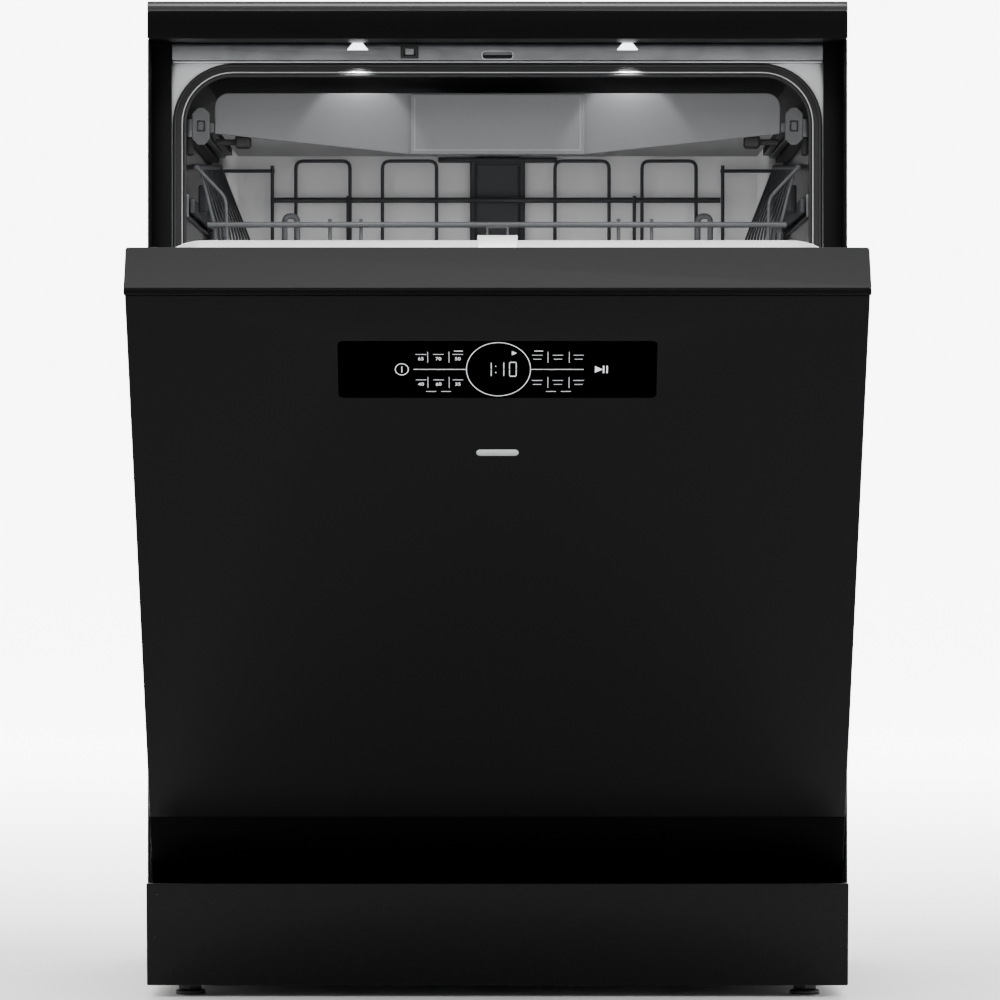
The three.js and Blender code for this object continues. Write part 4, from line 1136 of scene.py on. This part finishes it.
latch_case = soften(block("latch_case", (-16, 16), (9.8, 27.4), (650.4, 654.6), on_door), 0.8, 3)
latch_steel = galvanised("latch_steel", (0.05, 0.052, 0.055), 0.4)
striker = block("latch_striker", (-9, 9), (27.2, 40), (650.4, 652.6), on_door)
carved(striker, block("striker_eye", (-7.2, 7.2), (27, 38), (640, 660), on_door))
striker_foot = block("striker_foot", (-9, 9), (26.6, 27.6), (650.5, 652.5), on_door)
hung(latch_case, liner_steel, "door")
latch = joined("door_latch_striker", soften(striker, 0.5), striker_foot)
hung(latch, latch_steel, "door", "door_latch")

body_case = block("dispenser_case", (-60, 125), (23.0, 36), (300, 420), on_door)
round_corners(body_case, "y", 9, 5)
carved(body_case, block("powder_cup", (-42, 52), (25.5, 50), (318, 402), on_door))
hung(soften(body_case, 1.0, 2), grey_moulding, "door", "dispenser_body")
lid = block("dispenser_flap", (-48, 58), (36.3, 38.8), (306.6, 408), on_door)
round_corners(lid, "y", 5, 5)
flap_recess = block("flap_recess", (-42, 52), (38, 45), (313, 394), on_door)
round_corners(flap_recess, "y", 3, 4)
carved(lid, flap_recess)
thumb_ridge = soften(block("flap_ridge", (-12, 22), (38, 38.8), (398, 402), on_door), 0.3, 2)
flap = joined("dispenser_flap", soften(lid, 0.4, 2), thumb_ridge)
hung(flap, light_moulding, "dispenser_lid", "dispenser_lid")
recoat(dark_moulding, "rinse_aid_cap")

# ---- Print on the control window ----
# Fine white print and a lit read-out behind the glass: a ring round the time left, a power and a
# start mark, and two rows of programme marks with their temperatures.
print_white = node_material("print_white", (0.75, 0.76, 0.78), 0.4)
glow(print_white, (0.9, 0.93, 1.0), 0.35)
print_dots = grain(print_white, 2500)
vary(print_white, print_dots, "Base Color", (0.66, 0.67, 0.69), (0.8, 0.81, 0.83))
PRINT_Y = (-42.86, -42.6)
DIAL_Z = 573.0
marks = []


def mark(xs, zs):
    marks.append(block("mark", xs, PRINT_Y, zs, on_door))


def ring(x, z, half_width, half_height, line):
    """A printed ring: a flat torus, stretched upright."""
    bpy.ops.object.select_all(action="DESELECT")
    bpy.ops.mesh.primitive_torus_add(
        major_radius=half_width / 1000, minor_radius=line / 2000, major_segments=96,
        minor_segments=8, rotation=(math.pi / 2, 0, 0),
        location=on_door(x, (PRINT_Y[0] + PRINT_Y[1]) / 2, z),
    )
    made = bpy.context.object
    bpy.ops.object.transform_apply(location=False, rotation=True, scale=True)
    made.scale = (1, 0.16 / line, half_height / half_width)
    marks.append(settled(made, "ring"))


def number(text, x, z, size):
    """Digits in the plain built-in typeface, turned upright on the glass."""
    bpy.ops.object.select_all(action="DESELECT")
    bpy.ops.object.text_add(rotation=(math.pi / 2, 0, 0))
    made = bpy.context.object
    made.data.body = text
    made.data.size = size / 1000
    made.data.extrude = 0.0001
    made.data.align_x = "CENTER"
    made.data.align_y = "CENTER"
    made.location = on_door(x, PRINT_Y[0] + 0.1, z)
    bpy.ops.object.convert(target="MESH")
    marks.append(settled(bpy.context.object, "number"))


ring(0, DIAL_Z, 25.6, 29.6, 0.55)
for way in (-1, 1):
    mark(span(way, 26, 68), (DIAL_Z - 0.25, DIAL_Z + 0.25))
    mark((way * 32 - 3.5, way * 32 + 3.5), (593.0, 593.6))
    for x in (39.5, 56.5):
        for z in (586.5, 558.5):
            mark((way * x - 0.17, way * x + 0.17), (z - 6, z + 6))
    mark(span(way, 38, 46), (548.2, 548.6))
    mark(span(way, 50, 58), (548.2, 548.6))
PROGRAMMES = {-62: ("65", "40"), -48: ("70", "60"), -32.5: ("50", "35")}
for x, (upper, lower) in PROGRAMMES.items():
    number(upper, x, 584.6, 4.8)
    number(lower, x, 556.4, 4.8)
    mark((x - 4.2, x + 4.2), (589.4, 589.75))
    mark((x - 4.2, x + 4.2), (561.2, 561.55))
for x in (31, 47.5, 64):
    for z in (588.5, 560.5):
        mark((x - 4.2, x + 4.2), (z, z + 0.35))
        mark((x - 3.3, x + 3.3), (z - 4.4, z - 4.05))
ring(-77.3, DIAL_Z, 5.2, 6.2, 0.6)
mark((-77.65, -76.95), (DIAL_Z - 3.4, DIAL_Z + 3.4))
mark((83.4, 84.6), (DIAL_Z - 4, DIAL_Z + 4))
mark((86.2, 87.4), (DIAL_Z - 4, DIAL_Z + 4))


def arrow(x, z, size):
    """A small triangle that points right: a three-cornered prism."""
    bpy.ops.object.select_all(action="DESELECT")
    bpy.ops.mesh.primitive_cylinder_add(
        vertices=3, radius=size / 1000, depth=0.00024, rotation=(math.pi / 2, 0, 0),
        location=on_door(x, (PRINT_Y[0] + PRINT_Y[1]) / 2, z),
    )
    made = settled(bpy.context.object, "arrow")
    edit(made, "FACE", everything)
    bpy.ops.transform.rotate(
        value=-math.pi / 2, orient_axis="Y", center_override=on_door(x, -42.7, z),
    )
    closed_edit()
    marks.append(made)


arrow(79.2, DIAL_Z, 4.2)
arrow(12, 591, 2.6)
SEGMENTS = {
    "a": ((0.6, 5.4), (15.4, 16.2)), "b": ((5.4, 6.0), (8.6, 15.4)), "c": ((5.4, 6.0), (0.8, 7.6)),
    "d": ((0.6, 5.4), (0, 0.8)), "e": ((0, 0.6), (0.8, 7.6)), "f": ((0, 0.6), (8.6, 15.4)),
}
for x, lit in ((-11.5, "bc"), (-1.5, "bc"), (8.5, "abcdef")):
    for name in lit:
        xs, zs = SEGMENTS[name]
        mark((x + xs[0], x + xs[1]), (DIAL_Z - 8 + zs[0], DIAL_Z - 8 + zs[1]))
for z in (-3.5, 3.5):
    mark((-2.6, -1.8), (DIAL_Z + z - 0.5, DIAL_Z + z + 0.5))
window_print = joined("window_print", *marks)
PRINT_SHIFT = 0.0008
window_print.data.transform(Matrix.Translation((PRINT_SHIFT, 0, 0)))
hung(window_print, print_white)

badge_steel = stainless("badge_steel", (0.55, 0.56, 0.57), 0.3, (0.05, 1, 1))
badge = block("door_badge", (-17, 17), (-42.95, -42.5), (476, 483), on_door)
round_corners(badge, "y", 3.2, 6)
hung(soften(badge, 0.12, 2), badge_steel)
